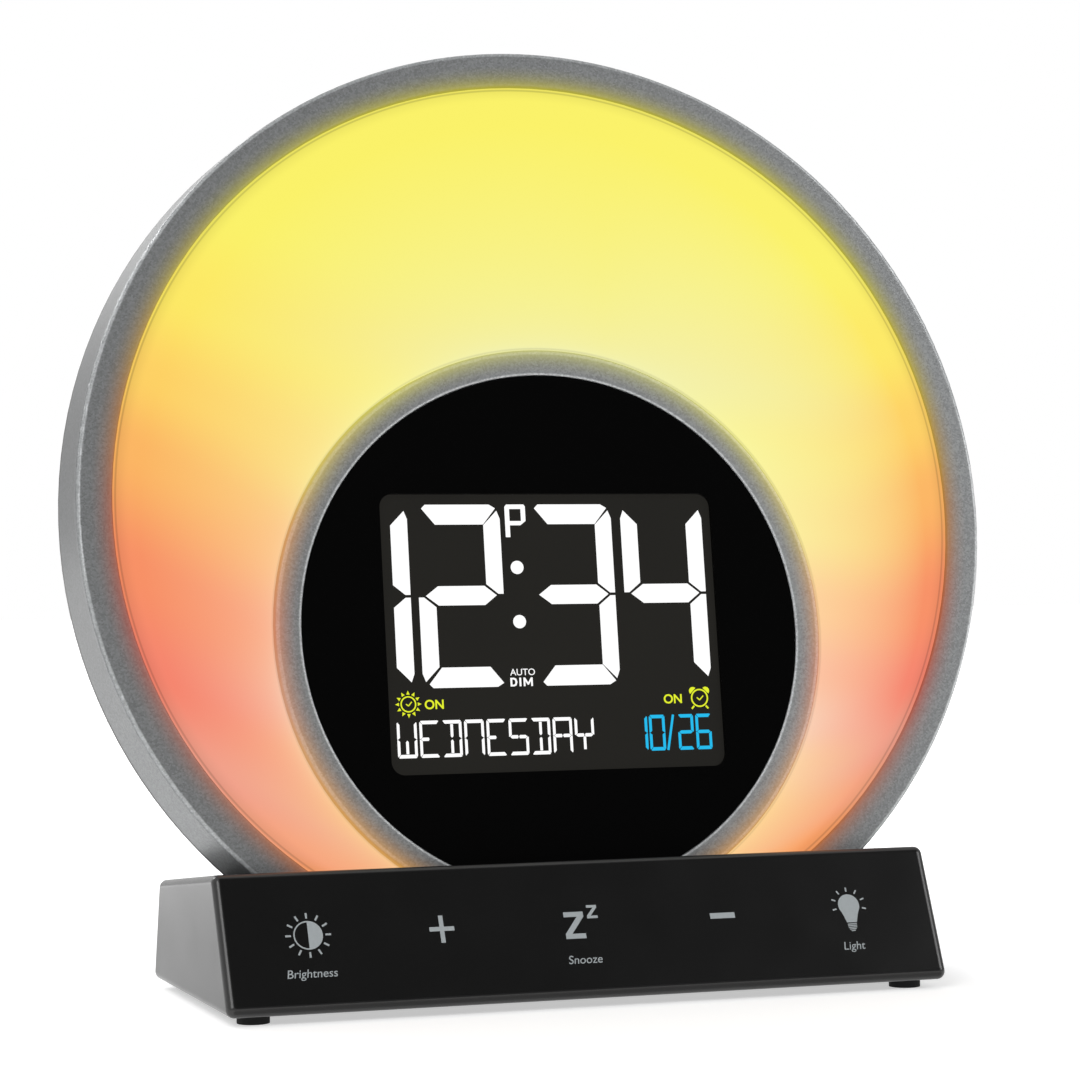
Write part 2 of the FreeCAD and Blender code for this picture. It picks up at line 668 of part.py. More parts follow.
crop_bottom(cover, "cover_foot")
PIECES.pop("rear_cover")
cover.Label = "cover_dish_body"

KEY_PLACES = [(column, row) for row in (0, 1) for column in (-1, 0, 1)]
KEY_NAMES = ("alarm_key", "sunrise_key", "clock_key", "sound_key", "volume_key", "date_key")


def key_x(column):
    return "%d * key_pitch_x" % column


def key_z(row):
    return "-key_row_z - %d * key_pitch_z - key_pitch_z / 2" % row


def pill(name, column, row, depth, grow, thick):
    """A round-ended bar of the key's outline, grown all round."""
    half = "(key_length - key_height) / 2"
    radius = "key_height / 2 + (%s)" % grow
    ends = [rod("%s_end_%d" % (name, k), "%s + %d * %s" % (key_x(column), k, half), depth, key_z(row), radius, thick)
            for k in (-1, 1)]
    middle = block(name + "_middle", key_x(column), depth, "%s - (%s)" % (key_z(row), radius),
                   "key_length - key_height", thick, "2 * (%s)" % radius)
    return join(name, ends + [middle])


cover_posts = [rod("cover_post_%d" % k, x, "tray_boss_end + slip", z, "screw_radius + post_wall",
                   "cover_back - tray_boss_end - slip - slip") for k, (x, z) in enumerate(COVER_PLACES)]
KEY_POSTS = [(sx, sz) for sx in (-1, 1) for sz in (-1, 1)]
KEY_POST_X = "(key_board_width / 2 - 3)"
KEY_MIDDLE = "(-key_row_z - key_pitch_z)"
key_post_set = [rod("key_post_%d_%d" % (sx, sz), "%d * %s" % (sx, KEY_POST_X), "key_board_face + key_board_thick",
                    "%s + %d * (key_board_height / 2 - 3)" % (KEY_MIDDLE, sz), "small_screw_radius + post_wall / 2",
                    "cover_back - key_board_face - key_board_thick - slip") for sx, sz in KEY_POSTS]
STAND_X = ["%s * stand_pitch" % k for k in ("-1.5", "-0.5", "0.5", "1.5")]
stand_wall = block("cover_floor", "0", "bezel_depth + gap", "-disc_cut", "2 * sqrt((%s)^2 - disc_cut^2)" % COVER_FLAT,
                   "cover_back - bezel_depth - gap - slip", "cover_wall")
stand_bosses = [rod("stand_boss_%d" % k, x, "stand_screw_depth", "-disc_cut", "boss_radius",
                    "disc_cut - stand_boss_end", "z") for k, x in enumerate(STAND_X)]
cover_solid = join("cover_solid", [cover] + cover_posts + key_post_set + [stand_wall] + stand_bosses)

counterbores = [rod("cover_bore_%d" % k, x, "cover_back - screw_head_thick - slip", z, "screw_head_radius + gap", "9")
                for k, (x, z) in enumerate(COVER_PLACES)]
cover_holes = [rod("cover_hole_%d" % k, x, "tray_boss_end - 1", z, "screw_radius + slip", "9")
               for k, (x, z) in enumerate(COVER_PLACES)]
key_holes = [pill("key_hole_%d" % k, column, row, COVER_INNER + " - 1", "key_fit", "cover_wall + 3")
             for k, (column, row) in enumerate(KEY_PLACES)]
key_post_holes = [rod("key_post_hole_%d_%d" % (sx, sz), "%d * %s" % (sx, KEY_POST_X), "key_board_face",
                      "%s + %d * (key_board_height / 2 - 3)" % (KEY_MIDDLE, sz), "small_screw_radius + slip",
                      "key_board_thick + 5") for sx, sz in KEY_POSTS]
door_hole = block("door_hole", "0", COVER_INNER + " - 1", "door_top - door_height - gap", "door_width + 2 * gap",
                  "cover_wall + 3", "door_height + 2 * gap")
stand_holes = [rod("stand_boss_hole_%d" % k, x, "stand_screw_depth", "-disc_cut - 1", "screw_radius + slip",
                   "disc_cut - stand_screw_end + 2", "z") for k, x in enumerate(STAND_X)]
ribbon_slot = block("ribbon_slot", "0", "ribbon_depth - 1", "-disc_cut - 1", "ribbon_width + 4", "4", "cover_wall + 2")
grille = []
for ring_number in range(int(val("grille_rings")) + 1):
    holes = max(1, 6 * ring_number)
    for k in range(holes):
        turn = 2 * math.pi * k / holes
        reach = ring_number * val("grille_pitch")
        grille.append(Part.makeCylinder(val("grille_hole"), val("cover_wall") + 2, FreeCAD.Vector(
            reach * math.cos(turn), val("cover_back") - val("cover_wall") - 1,
            val("speaker_z") + reach * math.sin(turn)), FreeCAD.Vector(0, 1, 0)))
grille_cutter = doc.addObject("Part::Feature", "grille_cutter")
grille_cutter.Shape = Part.makeCompound(grille)
lean(piece("rear_cover", take("cover_cut", cover_solid, counterbores + cover_holes + key_holes + key_post_holes
                              + [door_hole, ribbon_slot, grille_cutter] + stand_holes)))

cover_seat = val("cover_back") - val("screw_head_thick") - val("slip")
cover_spots = [(total(COVER_SCREW_RING) * math.cos(math.radians(a)), total(COVER_SCREW_RING) * math.sin(math.radians(a)))
               for a in cover_angles]
lean(screws("rear_cover_screws", cover_spots, cover_seat, val("screw_head_radius"), val("screw_head_thick"),
            val("screw_radius"), cover_seat - val("tray_floor") - val("tray_wall") - val("gap")))

# Rear keys: six push keys in the cover, the board behind them and its switches.
KEY_BACK = "(cover_back + key_proud)"
FLANGE_BACK = "(%s - gap)" % COVER_INNER
for k, ((column, row), name) in enumerate(zip(KEY_PLACES, KEY_NAMES)):
    stem = pill("key_stem_%d" % k, column, row, FLANGE_BACK + " - key_flange_thick", "0",
                "%s - %s + key_flange_thick" % (KEY_BACK, FLANGE_BACK))
    flange = pill("key_flange_%d" % k, column, row, FLANGE_BACK + " - key_flange_thick", "key_flange",
                  "key_flange_thick")
    lean(piece(name, join("key_whole_%d" % k, [stem, flange])))
key_board_block = block("key_board_block", "0", "key_board_face", KEY_MIDDLE + " - key_board_height / 2",
                        "key_board_width", "key_board_thick", "key_board_height")
key_board_holes = [rod("key_board_hole_%d_%d" % (sx, sz), "%d * %s" % (sx, KEY_POST_X), "key_board_face - 1",
                       "%s + %d * (key_board_height / 2 - 3)" % (KEY_MIDDLE, sz), "small_screw_radius + slip", "4")
                   for sx, sz in KEY_POSTS]
lean(piece("key_board", take("key_board_drilled", key_board_block, key_board_holes)))
switches = []
for k, (column, row) in enumerate(KEY_PLACES):
    case = block("switch_case_%d" % k, key_x(column), "key_board_face + key_board_thick",
                 key_z(row) + " - switch_side / 2", "switch_side", "switch_height * 0.8", "switch_side")
    plunger = rod("switch_plunger_%d" % k, key_x(column), "key_board_face + key_board_thick", key_z(row),
                  "switch_side * 0.28", "switch_height")
    switches.append(join("switch_%d" % k, [case, plunger]))
lean(piece("tact_switches", group("switch_set", switches)))
key_screw_parts = []
key_middle = -val("key_row_z") - val("key_pitch_z")
for sx, sz in KEY_POSTS:
    spot = FreeCAD.Vector(sx * (val("key_board_width") / 2 - 3), val("key_board_face"),
                          key_middle + sz * (val("key_board_height") / 2 - 3))
    head = Part.makeCylinder(val("small_head_radius"), val("small_head_thick"),
                             spot - FreeCAD.Vector(0, val("small_head_thick"), 0), FreeCAD.Vector(0, 1, 0))
    shank = Part.makeCylinder(val("small_screw_radius"), val("key_board_thick") + 4, spot, FreeCAD.Vector(0, 1, 0))
    key_screw_parts.append(head.fuse(shank))
lean(solids("key_board_screws", key_screw_parts))

# Speaker: a small round driver against the grille, on a foam gasket, its magnet towards the front.
SPEAKER = "speaker_z"
RIM_BACK = "(%s - gasket_thick)" % COVER_INNER
BASKET_FRONT = "(%s - speaker_height + magnet_thick)" % RIM_BACK
basket = body("speaker_frame")
revolve(basket, "basket", [
    ("magnet_radius - 1", BASKET_FRONT),
    ("magnet_radius + 1.5", BASKET_FRONT),
    ("speaker_radius - 1", RIM_BACK + " - 1.2"),
    ("speaker_radius", RIM_BACK + " - 1.2"),
    ("speaker_radius", RIM_BACK),
    ("speaker_radius - speaker_lip", RIM_BACK),
    ("speaker_radius - speaker_lip", RIM_BACK + " - 0.6"),
    ("magnet_radius - 1", BASKET_FRONT + " + 1"),
])
lean(basket, SPEAKER)
magnet = rod("magnet_disc", "0", BASKET_FRONT + " - magnet_thick", "0", "magnet_radius", "magnet_thick")
lean(piece("speaker_magnet", group("magnet_set", [magnet])), SPEAKER)
cone = body("speaker_cone")
revolve(cone, "cone_shell", [
    ("0", BASKET_FRONT + " + 1.9"),
    ("magnet_radius / 2", BASKET_FRONT + " + 1.5"),
    ("speaker_radius - speaker_lip - gap", RIM_BACK + " - 0.5"),
    ("speaker_radius - speaker_lip - gap", RIM_BACK),
    ("magnet_radius / 2", BASKET_FRONT + " + 2"),
    ("0", BASKET_FRONT + " + 2.4"),
])
lean(cone, SPEAKER)
gasket_outer = rod("gasket_outer", "0", RIM_BACK, "0", "speaker_radius", "gasket_thick")
gasket_inner = rod("gasket_inner", "0", RIM_BACK + " - 1", "0", "speaker_radius - speaker_lip", "gasket_thick + 2")
lean(piece("speaker_gasket", take("gasket_ring", gasket_outer, gasket_inner)), SPEAKER)
socket_top = FreeCAD.Vector(val("speaker_socket_x"), val("board_face") + val("board_thick") + val("connector_height"),
                            val("speaker_socket_z") + val("connector_width") / 2 - val("display_drop"))
leads = []
for k in (-1, 1):
    start = socket_top + FreeCAD.Vector(2 * k, -val("lead_radius") - 1, val("connector_width") / 2 + val("lead_radius"))
    end = FreeCAD.Vector(14 + 2 * k, val("cover_back") - 6.6, val("speaker_z") - val("speaker_radius") + 5)
    leads.append(Part.makeCylinder(val("lead_radius"), (end - start).Length, start, end - start))
lean(solids("speaker_leads", leads))

# Backup cell: a coin cell in a moulded holder behind a small door, kept in by one captive screw.
holder_block = block("holder_block", "0", "holder_front", "cell_z - holder_side / 2", "holder_side",
                     COVER_INNER + " - holder_front", "holder_side")
holder_boss = rod("holder_boss", "0", "holder_front", "door_screw_z", "screw_radius + post_wall",
                  COVER_INNER + " - holder_front")
holder_pocket = rod("holder_pocket", "0", "cell_front - contact_thick", "cell_z", "cell_radius + gap", "20")
holder_hole = rod("holder_hole", "0", "holder_front + 1", "door_screw_z", "screw_radius + gap", "20")
lean(piece("cell_holder", take("holder_cut", join("holder_solid", [holder_block, holder_boss]),
                               [holder_pocket, holder_hole])))
cell = rod("cell_can", "0", "cell_front", "cell_z", "cell_radius", "cell_thick")
lean(piece("coin_cell", group("cell_set", [cell])))
minus = block("minus_strip", "0", "cell_front - contact_thick", "cell_z - contact_width", "contact_width",
              "contact_thick", "2 * contact_width")
plus = block("plus_strip", "0", "cell_front + cell_thick", "cell_z + cell_radius - contact_width - gap", "contact_width",
             "contact_thick", "contact_width")
lean(piece("cell_contacts", group("contact_set", [minus, plus])))
door_plate = block("door_plate", "0", "cover_back - door_thick", "door_top - door_height", "door_width", "door_thick",
                   "door_height")
door_bore = rod("door_bore", "0", "cover_back - door_thick / 2", "door_screw_z", "screw_head_radius + gap", "5")
door_screw_hole = rod("door_screw_hole", "0", "cover_back - 5", "door_screw_z", "screw_radius + gap", "9")
lean(piece("battery_door", take("door_cut", door_plate, [door_bore, door_screw_hole])))
door_seat = val("cover_back") - val("door_thick") / 2 + val("slip") / 2
lean(screws("battery_door_screw", [(0, val("door_screw_z"))], door_seat, val("screw_head_radius"),
            val("door_thick") / 2 - val("slip"), val("screw_radius"), val("door_screw_length")))

# Base shell: a low black block with sloping faces, open below, with a curved slot that the disc stands in.
base = body("base_shell")
BASE_TOP = "(foot_height + front_height)"
TOP_FRONT_Y = "(base_front_y + front_height * tan(front_slope))"
TOP_BACK_Y = "(base_back_y - back_height * tan(back_slope))"
outer = sketch(base, "base_profile", "YZ_Plane", [
    ("base_front_y", "foot_height"),
    ("base_back_y", "foot_height"),
    (TOP_BACK_Y, "foot_height + back_height"),
    (TOP_FRONT_Y, BASE_TOP),
])
pad(base, "base_block", outer, "base_back_width", SideType="Symmetric")
for side in (-1, 1):
    flare = pocket(base, "base_flare_%d" % (side + 1), sketch(base, "flare_outline_%d" % (side + 1), "XY_Plane", [
        ("%d * base_front_width / 2" % side, "base_front_y"),
        ("%d * base_back_width / 2" % side, "base_back_y"),
        ("%d * (base_back_width / 2 + 10)" % side, "base_back_y"),
        ("%d * (base_back_width / 2 + 10)" % side, "base_front_y"),
    ]))
soften(base, "base_edges", flare, lambda edge: edge.Length > val("foot_height") * 2, "base_round")
FRONT_WALL = "base_wall / cos(front_slope)"
BACK_WALL = "base_wall / cos(back_slope)"
hollow = pocket(base, "base_hollow", sketch(base, "hollow_profile", "YZ_Plane", [
    ("base_front_y + %s - foot_height * tan(front_slope)" % FRONT_WALL, "0"),
    ("base_back_y - %s + foot_height * tan(back_slope)" % BACK_WALL, "0"),
    (TOP_BACK_Y + " - %s + base_wall * tan(back_slope)" % BACK_WALL, "foot_height + back_height - base_wall"),
    (TOP_FRONT_Y + " + %s - base_wall * tan(front_slope)" % FRONT_WALL, BASE_TOP + " - base_wall"),
]))
bind(hollow, Length="base_front_width - 2 * base_wall")
PIECES.pop("base_shell")
base.Label = "base_block_body"

slot = body("disc_slot")
PIECES.pop("disc_slot")
revolve(slot, "slot_disc", [
    ("0", "-gap"),
    ("bezel_front_radius + gap", "-gap"),
    (BEZEL_BACK + " + gap", "bezel_depth + gap"),
    (BEZEL_BACK + " + gap", "bezel_depth + cover_rim + gap"),
    (COVER_FLAT + " + gap", "cover_back + gap"),
    ("0", "cover_back + gap"),
])
lean(slot)
BOSSES = [(sx, where) for sx in (-1, 1) for where in ("front", "back")]


def top_at(y):
    """The height of the sloping top at a depth."""
    fall = "(front_height - back_height) / (%s - %s)" % (TOP_BACK_Y, TOP_FRONT_Y)
    return "(%s - (%s - %s) * %s)" % (BASE_TOP, y, TOP_FRONT_Y, fall)


def back_at(z):
    """The depth of the sloping back at a height."""
    return "(base_back_y - (%s - foot_height) * tan(back_slope))" % z


base_bosses = [rod("base_boss_%s_%d" % (where, sx), "%d * boss_%s_x" % (sx, where), "boss_%s_y" % where,
                   "foot_height + plate_thick + slip", "boss_radius",
                   top_at("boss_%s_y" % where) + " - base_wall / 2 - foot_height - plate_thick - slip", "z")
               for sx, where in BOSSES]
boss_holes = [rod("boss_hole_%s_%d" % (where, sx), "%d * boss_%s_x" % (sx, where), "boss_%s_y" % where,
                  "foot_height", "screw_radius + slip", "base_screw_length + plate_thick + 1", "z")
              for sx, where in BOSSES]
JACK_LOW = "(power_board_z + power_board_thick)"
JACK_Z = "(%s + jack_height / 2)" % JACK_LOW
JACK_SHOULDER = "(%s - %s - gap)" % (back_at(JACK_LOW + " + jack_height"), BACK_WALL)
JACK_MOUTH = back_at(JACK_Z)
PORT_Z = "(%s + gap)" % JACK_LOW
PORT_MOUTH = back_at(PORT_Z + " + port_height")
jack_hole = rod("jack_hole", "jack_x", JACK_SHOULDER + " - 1", JACK_Z, "jack_barrel_radius + gap", "20")
port_hole = block("port_hole", "port_x", PORT_MOUTH + " - 4", PORT_Z + " - gap", "port_width + 2 * gap", "20",
                  "port_height + 2 * gap")
base_solid = join("base_solid", [base] + base_bosses)
piece("base_shell", take("base_cut", base_solid, [slot, jack_hole, port_hole] + boss_holes))

# Base bottom: a flat plate with posts that carry the disc, the power board and the screws.
PLATE_FRONT = "(base_front_y + %s + plate_thick * tan(front_slope) + gap)" % FRONT_WALL
PLATE_BACK = "(base_back_y - %s - plate_thick * tan(back_slope) - gap)" % BACK_WALL
plate = block("bottom_plate", "0", PLATE_FRONT, "foot_height", "base_front_width - 2 * base_wall - 2 * gap",
              "%s - %s" % (PLATE_BACK, PLATE_FRONT), "plate_thick")
stand_posts = lean(join("stand_posts", [rod("stand_post_%d" % k, x, "stand_screw_depth", "-disc_z / cos(lean_angle)",
                                            "stand_post_radius", "disc_z / cos(lean_angle) - disc_cut", "z")
                                        for k, x in enumerate(STAND_X)]))
below = block("below_plate", "0", "-100", "-20", "300", "200", "20 + foot_height")
stand_bores = lean(group("stand_bores", [rod("stand_bore_%d" % k, x, "stand_screw_depth", "-120",
                                             "screw_head_radius + gap", "120 - stand_screw_head", "z")
                                         for k, x in enumerate(STAND_X)]
                         + [rod("stand_hole_%d" % k, x, "stand_screw_depth", "-120", "screw_radius + slip", "60", "z")
                            for k, x in enumerate(STAND_X)]))
POWER_POSTS = [(sx, sy) for sx in (-1, 1) for sy in (0, 1)]
POWER_X = "(power_board_length / 2 - 3)"


def power_y(side):
    return "power_board_y + 3 + %d * (power_board_width - 6)" % side


power_posts = [rod("power_post_%d_%d" % (sx, sy), "%d * %s" % (sx, POWER_X), power_y(sy), "foot_height",
                   "small_screw_radius + post_wall / 2", "power_board_z - foot_height", "z") for sx, sy in POWER_POSTS]
power_post_holes = [rod("power_post_hole_%d_%d" % (sx, sy), "%d * %s" % (sx, POWER_X), power_y(sy),
                        "foot_height + 1", "small_screw_radius + slip", "power_board_z", "z") for sx, sy in POWER_POSTS]
plate_bores = [rod("plate_bore_%s_%d" % (where, sx), "%d * boss_%s_x" % (sx, where), "boss_%s_y" % where, "0",
                   "screw_head_radius + gap", "foot_height + plate_thick / 2", "z") for sx, where in BOSSES]
plate_holes = [rod("plate_hole_%s_%d" % (where, sx), "%d * boss_%s_x" % (sx, where), "boss_%s_y" % where, "0",
                   "screw_radius + slip", "10", "z") for sx, where in BOSSES]
bottom_solid = join("bottom_solid", [plate, stand_posts] + power_posts)
piece("base_bottom", take("bottom_cut", bottom_solid, [below, stand_bores] + power_post_holes + plate_bores + plate_holes))

base_screws = []
for sx, where in BOSSES:
    head_z = val("foot_height") + val("plate_thick") / 2
    spot = FreeCAD.Vector(sx * val("boss_%s_x" % where), val("boss_%s_y" % where), head_z)
    head = Part.makeCylinder(val("screw_head_radius"), val("plate_thick") / 2 - val("slip"),
                             spot - FreeCAD.Vector(0, 0, val("plate_thick") / 2 - val("slip")))
    base_screws.append(head.fuse(Part.makeCylinder(val("screw_radius"), val("base_screw_length"), spot)))
solids("base_screws", base_screws)
stand_screws = []
for k in (-1.5, -0.5, 0.5, 1.5):
    spot = FreeCAD.Vector(k * val("stand_pitch"), val("stand_screw_depth"), -val("stand_screw_head"))
    head = Part.makeCylinder(val("screw_head_radius"), val("screw_head_thick"),
                             spot - FreeCAD.Vector(0, 0, val("screw_head_thick")))
    stand_screws.append(head.fuse(Part.makeCylinder(
        val("screw_radius"), val("stand_screw_head") - val("stand_screw_end"), spot)))
lean(solids("stand_screws", stand_screws))

# Feet: four soft pads stuck under the plate.
feet = [rod("foot_%d_%s" % (sx, where), "%d * foot_x" % sx, "foot_%s_y" % where, "0", "foot_radius", "foot_height", "z")
        for sx, where in BOSSES]
piece("rubber_feet", group("feet_set", feet))

# Touch keys: five pads pressed to the inside of the front face by one long board.
pads = [rod("touch_pad_%d" % k, "%d * touch_pitch" % k, "base_wall", "touch_up", "touch_pad_radius",
            "touch_pad_thick") for k in (-2, -1, 0, 1, 2)]
face_lean(piece("touch_pads", group("pad_set", pads)))
touch_block = block("touch_block", "0", "base_wall + touch_pad_thick", "touch_up - touch_board_height / 2",
                    "touch_board_length", "touch_board_thick", "touch_board_height")
face_lean(piece("touch_board", group("touch_set", [touch_block])))

# Power board at the back of the base, with the power inlet and the charging port on it.
power_block = block("power_block", "0", "power_board_y", "power_board_z", "power_board_length", "power_board_width",
                    "power_board_thick")
power_board_holes = [rod("power_board_hole_%d_%d" % (sx, sy), "%d * %s" % (sx, POWER_X), power_y(sy),
                         "power_board_z - 1", "small_screw_radius + slip", "6", "z") for sx, sy in POWER_POSTS]
piece("power_board", take("power_board_drilled", power_block, power_board_holes))
power_screws = []
for sx, sy in POWER_POSTS:
    spot = FreeCAD.Vector(sx * (val("power_board_length") / 2 - 3),
                          val("power_board_y") + 3 + sy * (val("power_board_width") - 6),
                          val("power_board_z") + val("power_board_thick"))
    head = Part.makeCylinder(val("small_head_radius"), val("small_head_thick"), spot)
    shank = Part.makeCylinder(val("small_screw_radius"), val("power_board_thick") + 2.5,
                              spot - FreeCAD.Vector(0, 0, val("power_board_thick") + 2.5))
    power_screws.append(head.fuse(shank))
solids("power_board_screws", power_screws)

jack_block = block("jack_block", "jack_x", JACK_SHOULDER + " - jack_body_depth", JACK_LOW, "jack_side",
                   "jack_body_depth", "jack_height")
jack_barrel = rod("jack_barrel", "jack_x", JACK_SHOULDER + " - 1", JACK_Z, "jack_barrel_radius",
                  "%s - %s + 1" % (JACK_MOUTH, JACK_SHOULDER))
jack_bore = rod("jack_bore", "jack_x", JACK_MOUTH + " - jack_bore_depth", JACK_Z, "jack_bore_radius", "20")
piece("dc_jack_body", take("jack_cut", join("jack_solid", [jack_block, jack_barrel]), jack_bore))
piece("dc_jack_pin", group("jack_pin_set", [rod("jack_pin", "jack_x", JACK_MOUTH + " - jack_bore_depth", JACK_Z,
                                                "jack_pin_radius", "jack_bore_depth - 1")]))
piece("dc_jack_spring", group("jack_spring_set", [block(
    "jack_spring", "jack_x", JACK_MOUTH + " - jack_bore_depth", JACK_Z + " - jack_bore_radius + contact_thick", "2.4",
    "6", "contact_thick")]))

port_outer = block("port_outer", "port_x", PORT_MOUTH + " - port_depth", PORT_Z, "port_width", "port_depth",
                   "port_height")
port_inner = block("port_inner", "port_x", PORT_MOUTH + " - port_depth + port_wall", PORT_Z + " + port_wall",
                   "port_width - 2 * port_wall", "port_depth", "port_height - 2 * port_wall")
piece("usb_port_shell", take("port_cut", port_outer, port_inner))
TONGUE_Z = "(%s + port_height - port_wall - 0.5 - tongue_thick)" % PORT_Z
piece("usb_port_tongue", group("tongue_set", [block(
    "tongue", "port_x", PORT_MOUTH + " - port_depth + port_wall", TONGUE_Z, "tongue_width", "port_depth - port_wall - 1",
    "tongue_thick")]))
piece("usb_port_contacts", group("usb_contact_set", [block(
    "usb_contact_%d" % k, "port_x + (%d - 1.5) * 2.3" % k, PORT_MOUTH + " - port_depth + port_wall + 1",
    TONGUE_Z + " - contact_thick", "1.2", "port_depth - port_wall - 3", "contact_thick")
    for k in range(4)]))

# Ribbon cable: a flat lead from the power board's side up into the disc, to the socket of the main board.
ribbon = block("ribbon", "0", "ribbon_depth", "-ribbon_low", "ribbon_width", "ribbon_thick",
               "ribbon_low + ribbon_socket_z - display_drop")
lean(piece("base_ribbon", group("ribbon_set", [ribbon])))

doc.recompute()

failed = [thing.Name for thing in doc.Objects if "Invalid" in thing.State or "Error" in thing.State]
if failed:
    raise RuntimeError("objects that failed: " + ", ".join(failed))
for label, thing in PIECES.items():
    if thing.Shape.isNull() or not thing.Shape.isValid() or not thing.Shape.Solids:
        raise RuntimeError("not a valid solid: " + label)

os.makedirs("parts", exist_ok=True)
for label, thing in PIECES.items():
    thing.Shape.exportStep("parts/%s.step" % label)
print("%d pieces" % len(PIECES))
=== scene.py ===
import math

import bpy
from mathutils import Matrix, Vector


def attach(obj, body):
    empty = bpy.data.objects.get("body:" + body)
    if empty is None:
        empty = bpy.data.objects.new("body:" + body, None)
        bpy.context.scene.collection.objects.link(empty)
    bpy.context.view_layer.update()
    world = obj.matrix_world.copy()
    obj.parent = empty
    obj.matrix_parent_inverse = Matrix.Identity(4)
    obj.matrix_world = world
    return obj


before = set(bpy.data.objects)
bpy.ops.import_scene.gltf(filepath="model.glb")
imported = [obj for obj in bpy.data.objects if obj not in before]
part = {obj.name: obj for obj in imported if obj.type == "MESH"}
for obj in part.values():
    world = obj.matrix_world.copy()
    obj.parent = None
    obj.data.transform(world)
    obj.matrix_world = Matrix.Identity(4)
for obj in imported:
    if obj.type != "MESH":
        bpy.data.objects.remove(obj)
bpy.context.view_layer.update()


# Silver rings: the deep outer ring and the small ring round the display are moulded in ABS
# and sprayed with a silver flake lacquer. The lit panel between them spills its colours a
# few millimetres over the edges that face it.

LEAN = math.radians(-8.2)
DISC = Matrix.Translation((0, -0.0025, 0.1004)) @ Matrix.Rotation(LEAN, 4, "X")
RING_INNER_MM = 91.6
DISPLAY_RING_MM = 59.5
DISPLAY_DROP_MM = 25.55
LIGHT_FOOT_MM = -85
LIGHT_TOP_MM = 95
SIDE_WALL_MM = (98.75, 99.1)
FLAKES_PER_METRE = 2900.0

# colours of the light by height on the disc in mm, along its rim and in its core
RIM_COLOURS = [(-79, "#F89E62"), (-69, "#F5A27C"), (-56, "#F09F88"), (-36, "#F4836B"), (-14, "#F68E62"),
               (10, "#FAB45F"), (25, "#FCCF60"), (42, "#FBE761"), (60, "#F9F065")]
CORE_COLOURS = [(-70, "#FDD392"), (-58, "#FBD2A2"), (-46, "#F8CCB0"), (-31, "#FAC09E"),
                (-14, "#FCCF99"), (3, "#FAEB9A"), (20, "#F8F39B"), (34, "#F1F0AE")]


def linear(code):
    """Turns an sRGB hex value into the linear colour that a socket takes."""
    parts = [int(code[i:i + 2], 16) / 255 for i in (1, 3, 5)]
    return [c / 12.92 if c <= 0.04045 else ((c + 0.055) / 1.055) ** 2.4 for c in parts] + [1.0]


def node(tree, kind, settings=None, values=None, links=None):
    """Adds a shader node with its settings, the values of its sockets and the links into them."""
    made = tree.nodes.new("ShaderNode" + kind)
    for name, value in (settings or {}).items():
        setattr(made, name, value)
    for name, value in (values or {}).items():
        made.inputs[name].default_value = value
    for name, source in (links or {}).items():
        tree.links.new(source, made.inputs[name])
    return made


def new_material(name):
    """An empty node material and its output node."""
    material = bpy.data.materials.new(name)
    material.use_nodes = True
    material.node_tree.nodes.clear()
    return material, material.node_tree, node(material.node_tree, "OutputMaterial")


def dress(material, *names):
    """Gives CAD nodes a finish."""
    for name in names:
        for slot in part[name].material_slots:
            slot.material = material


def light_height(tree, up, across):
    """The height that sets the light's colour: lower on the left, higher on the right but for its foot."""
    lean = node(tree, "MapRange", {"interpolation_type": "SMOOTHSTEP"},
                {"From Min": -75, "From Max": -20, "To Min": -0.10, "To Max": 0.12},
                {"Value": up}).outputs["Result"]
    left = node(tree, "Math", {"operation": "MINIMUM"}, {1: 0.0}, {0: across}).outputs["Value"]
    right = node(tree, "Math", {"operation": "MAXIMUM"}, {1: 0.0}, {0: across}).outputs["Value"]
    low = node(tree, "Math", {"operation": "MULTIPLY_ADD"}, {1: 0.12}, {0: left, 2: up}).outputs["Value"]
    return node(tree, "Math", {"operation": "MULTIPLY_ADD"},
                links={0: right, 1: lean, 2: low}).outputs["Value"]


def disc_places(tree):
    """Places on the disc in mm: the light's height, from both rings' middles, across it and into it."""
    place = node(tree, "TexCoord").outputs["Object"]
    local = node(tree, "Mapping", {"vector_type": "TEXTURE"},
                 {"Location": DISC.translation, "Rotation": (LEAN, 0, 0), "Scale": (0.001,) * 3},
                 {"Vector": place}).outputs["Vector"]
    flat = node(tree, "VectorMath", {"operation": "MULTIPLY"}, {1: (1, 0, 1)}, {0: local}).outputs["Vector"]
    lower = node(tree, "VectorMath", {"operation": "ADD"}, {1: (0, 0, DISPLAY_DROP_MM)},
                 {0: flat}).outputs["Vector"]
    outer = node(tree, "VectorMath", {"operation": "LENGTH"}, links={0: flat}).outputs["Value"]
    inner = node(tree, "VectorMath", {"operation": "LENGTH"}, links={0: lower}).outputs["Value"]
    axes = node(tree, "SeparateXYZ", links={"Vector": local}).outputs
    return light_height(tree, axes["Z"], axes["X"]), outer, inner, axes["X"], axes["Y"]


def sunrise_ramp(tree, height, stops):
    """The colours of the light at a height."""
    share = node(tree, "MapRange", None, {"From Min": LIGHT_FOOT_MM, "From Max": LIGHT_TOP_MM},
                 {"Value": height}).outputs["Result"]
    ramp = node(tree, "ValToRGB", links={"Fac": share})
    ramp.color_ramp.interpolation = "EASE"
    elements = ramp.color_ramp.elements
    while len(elements) < len(stops):
        elements.new(0.5)
    for element, (height_mm, code) in zip(elements, stops):
        element.position = (height_mm - LIGHT_FOOT_MM) / (LIGHT_TOP_MM - LIGHT_FOOT_MM)
        element.color = linear(code)
    return ramp.outputs["Color"]


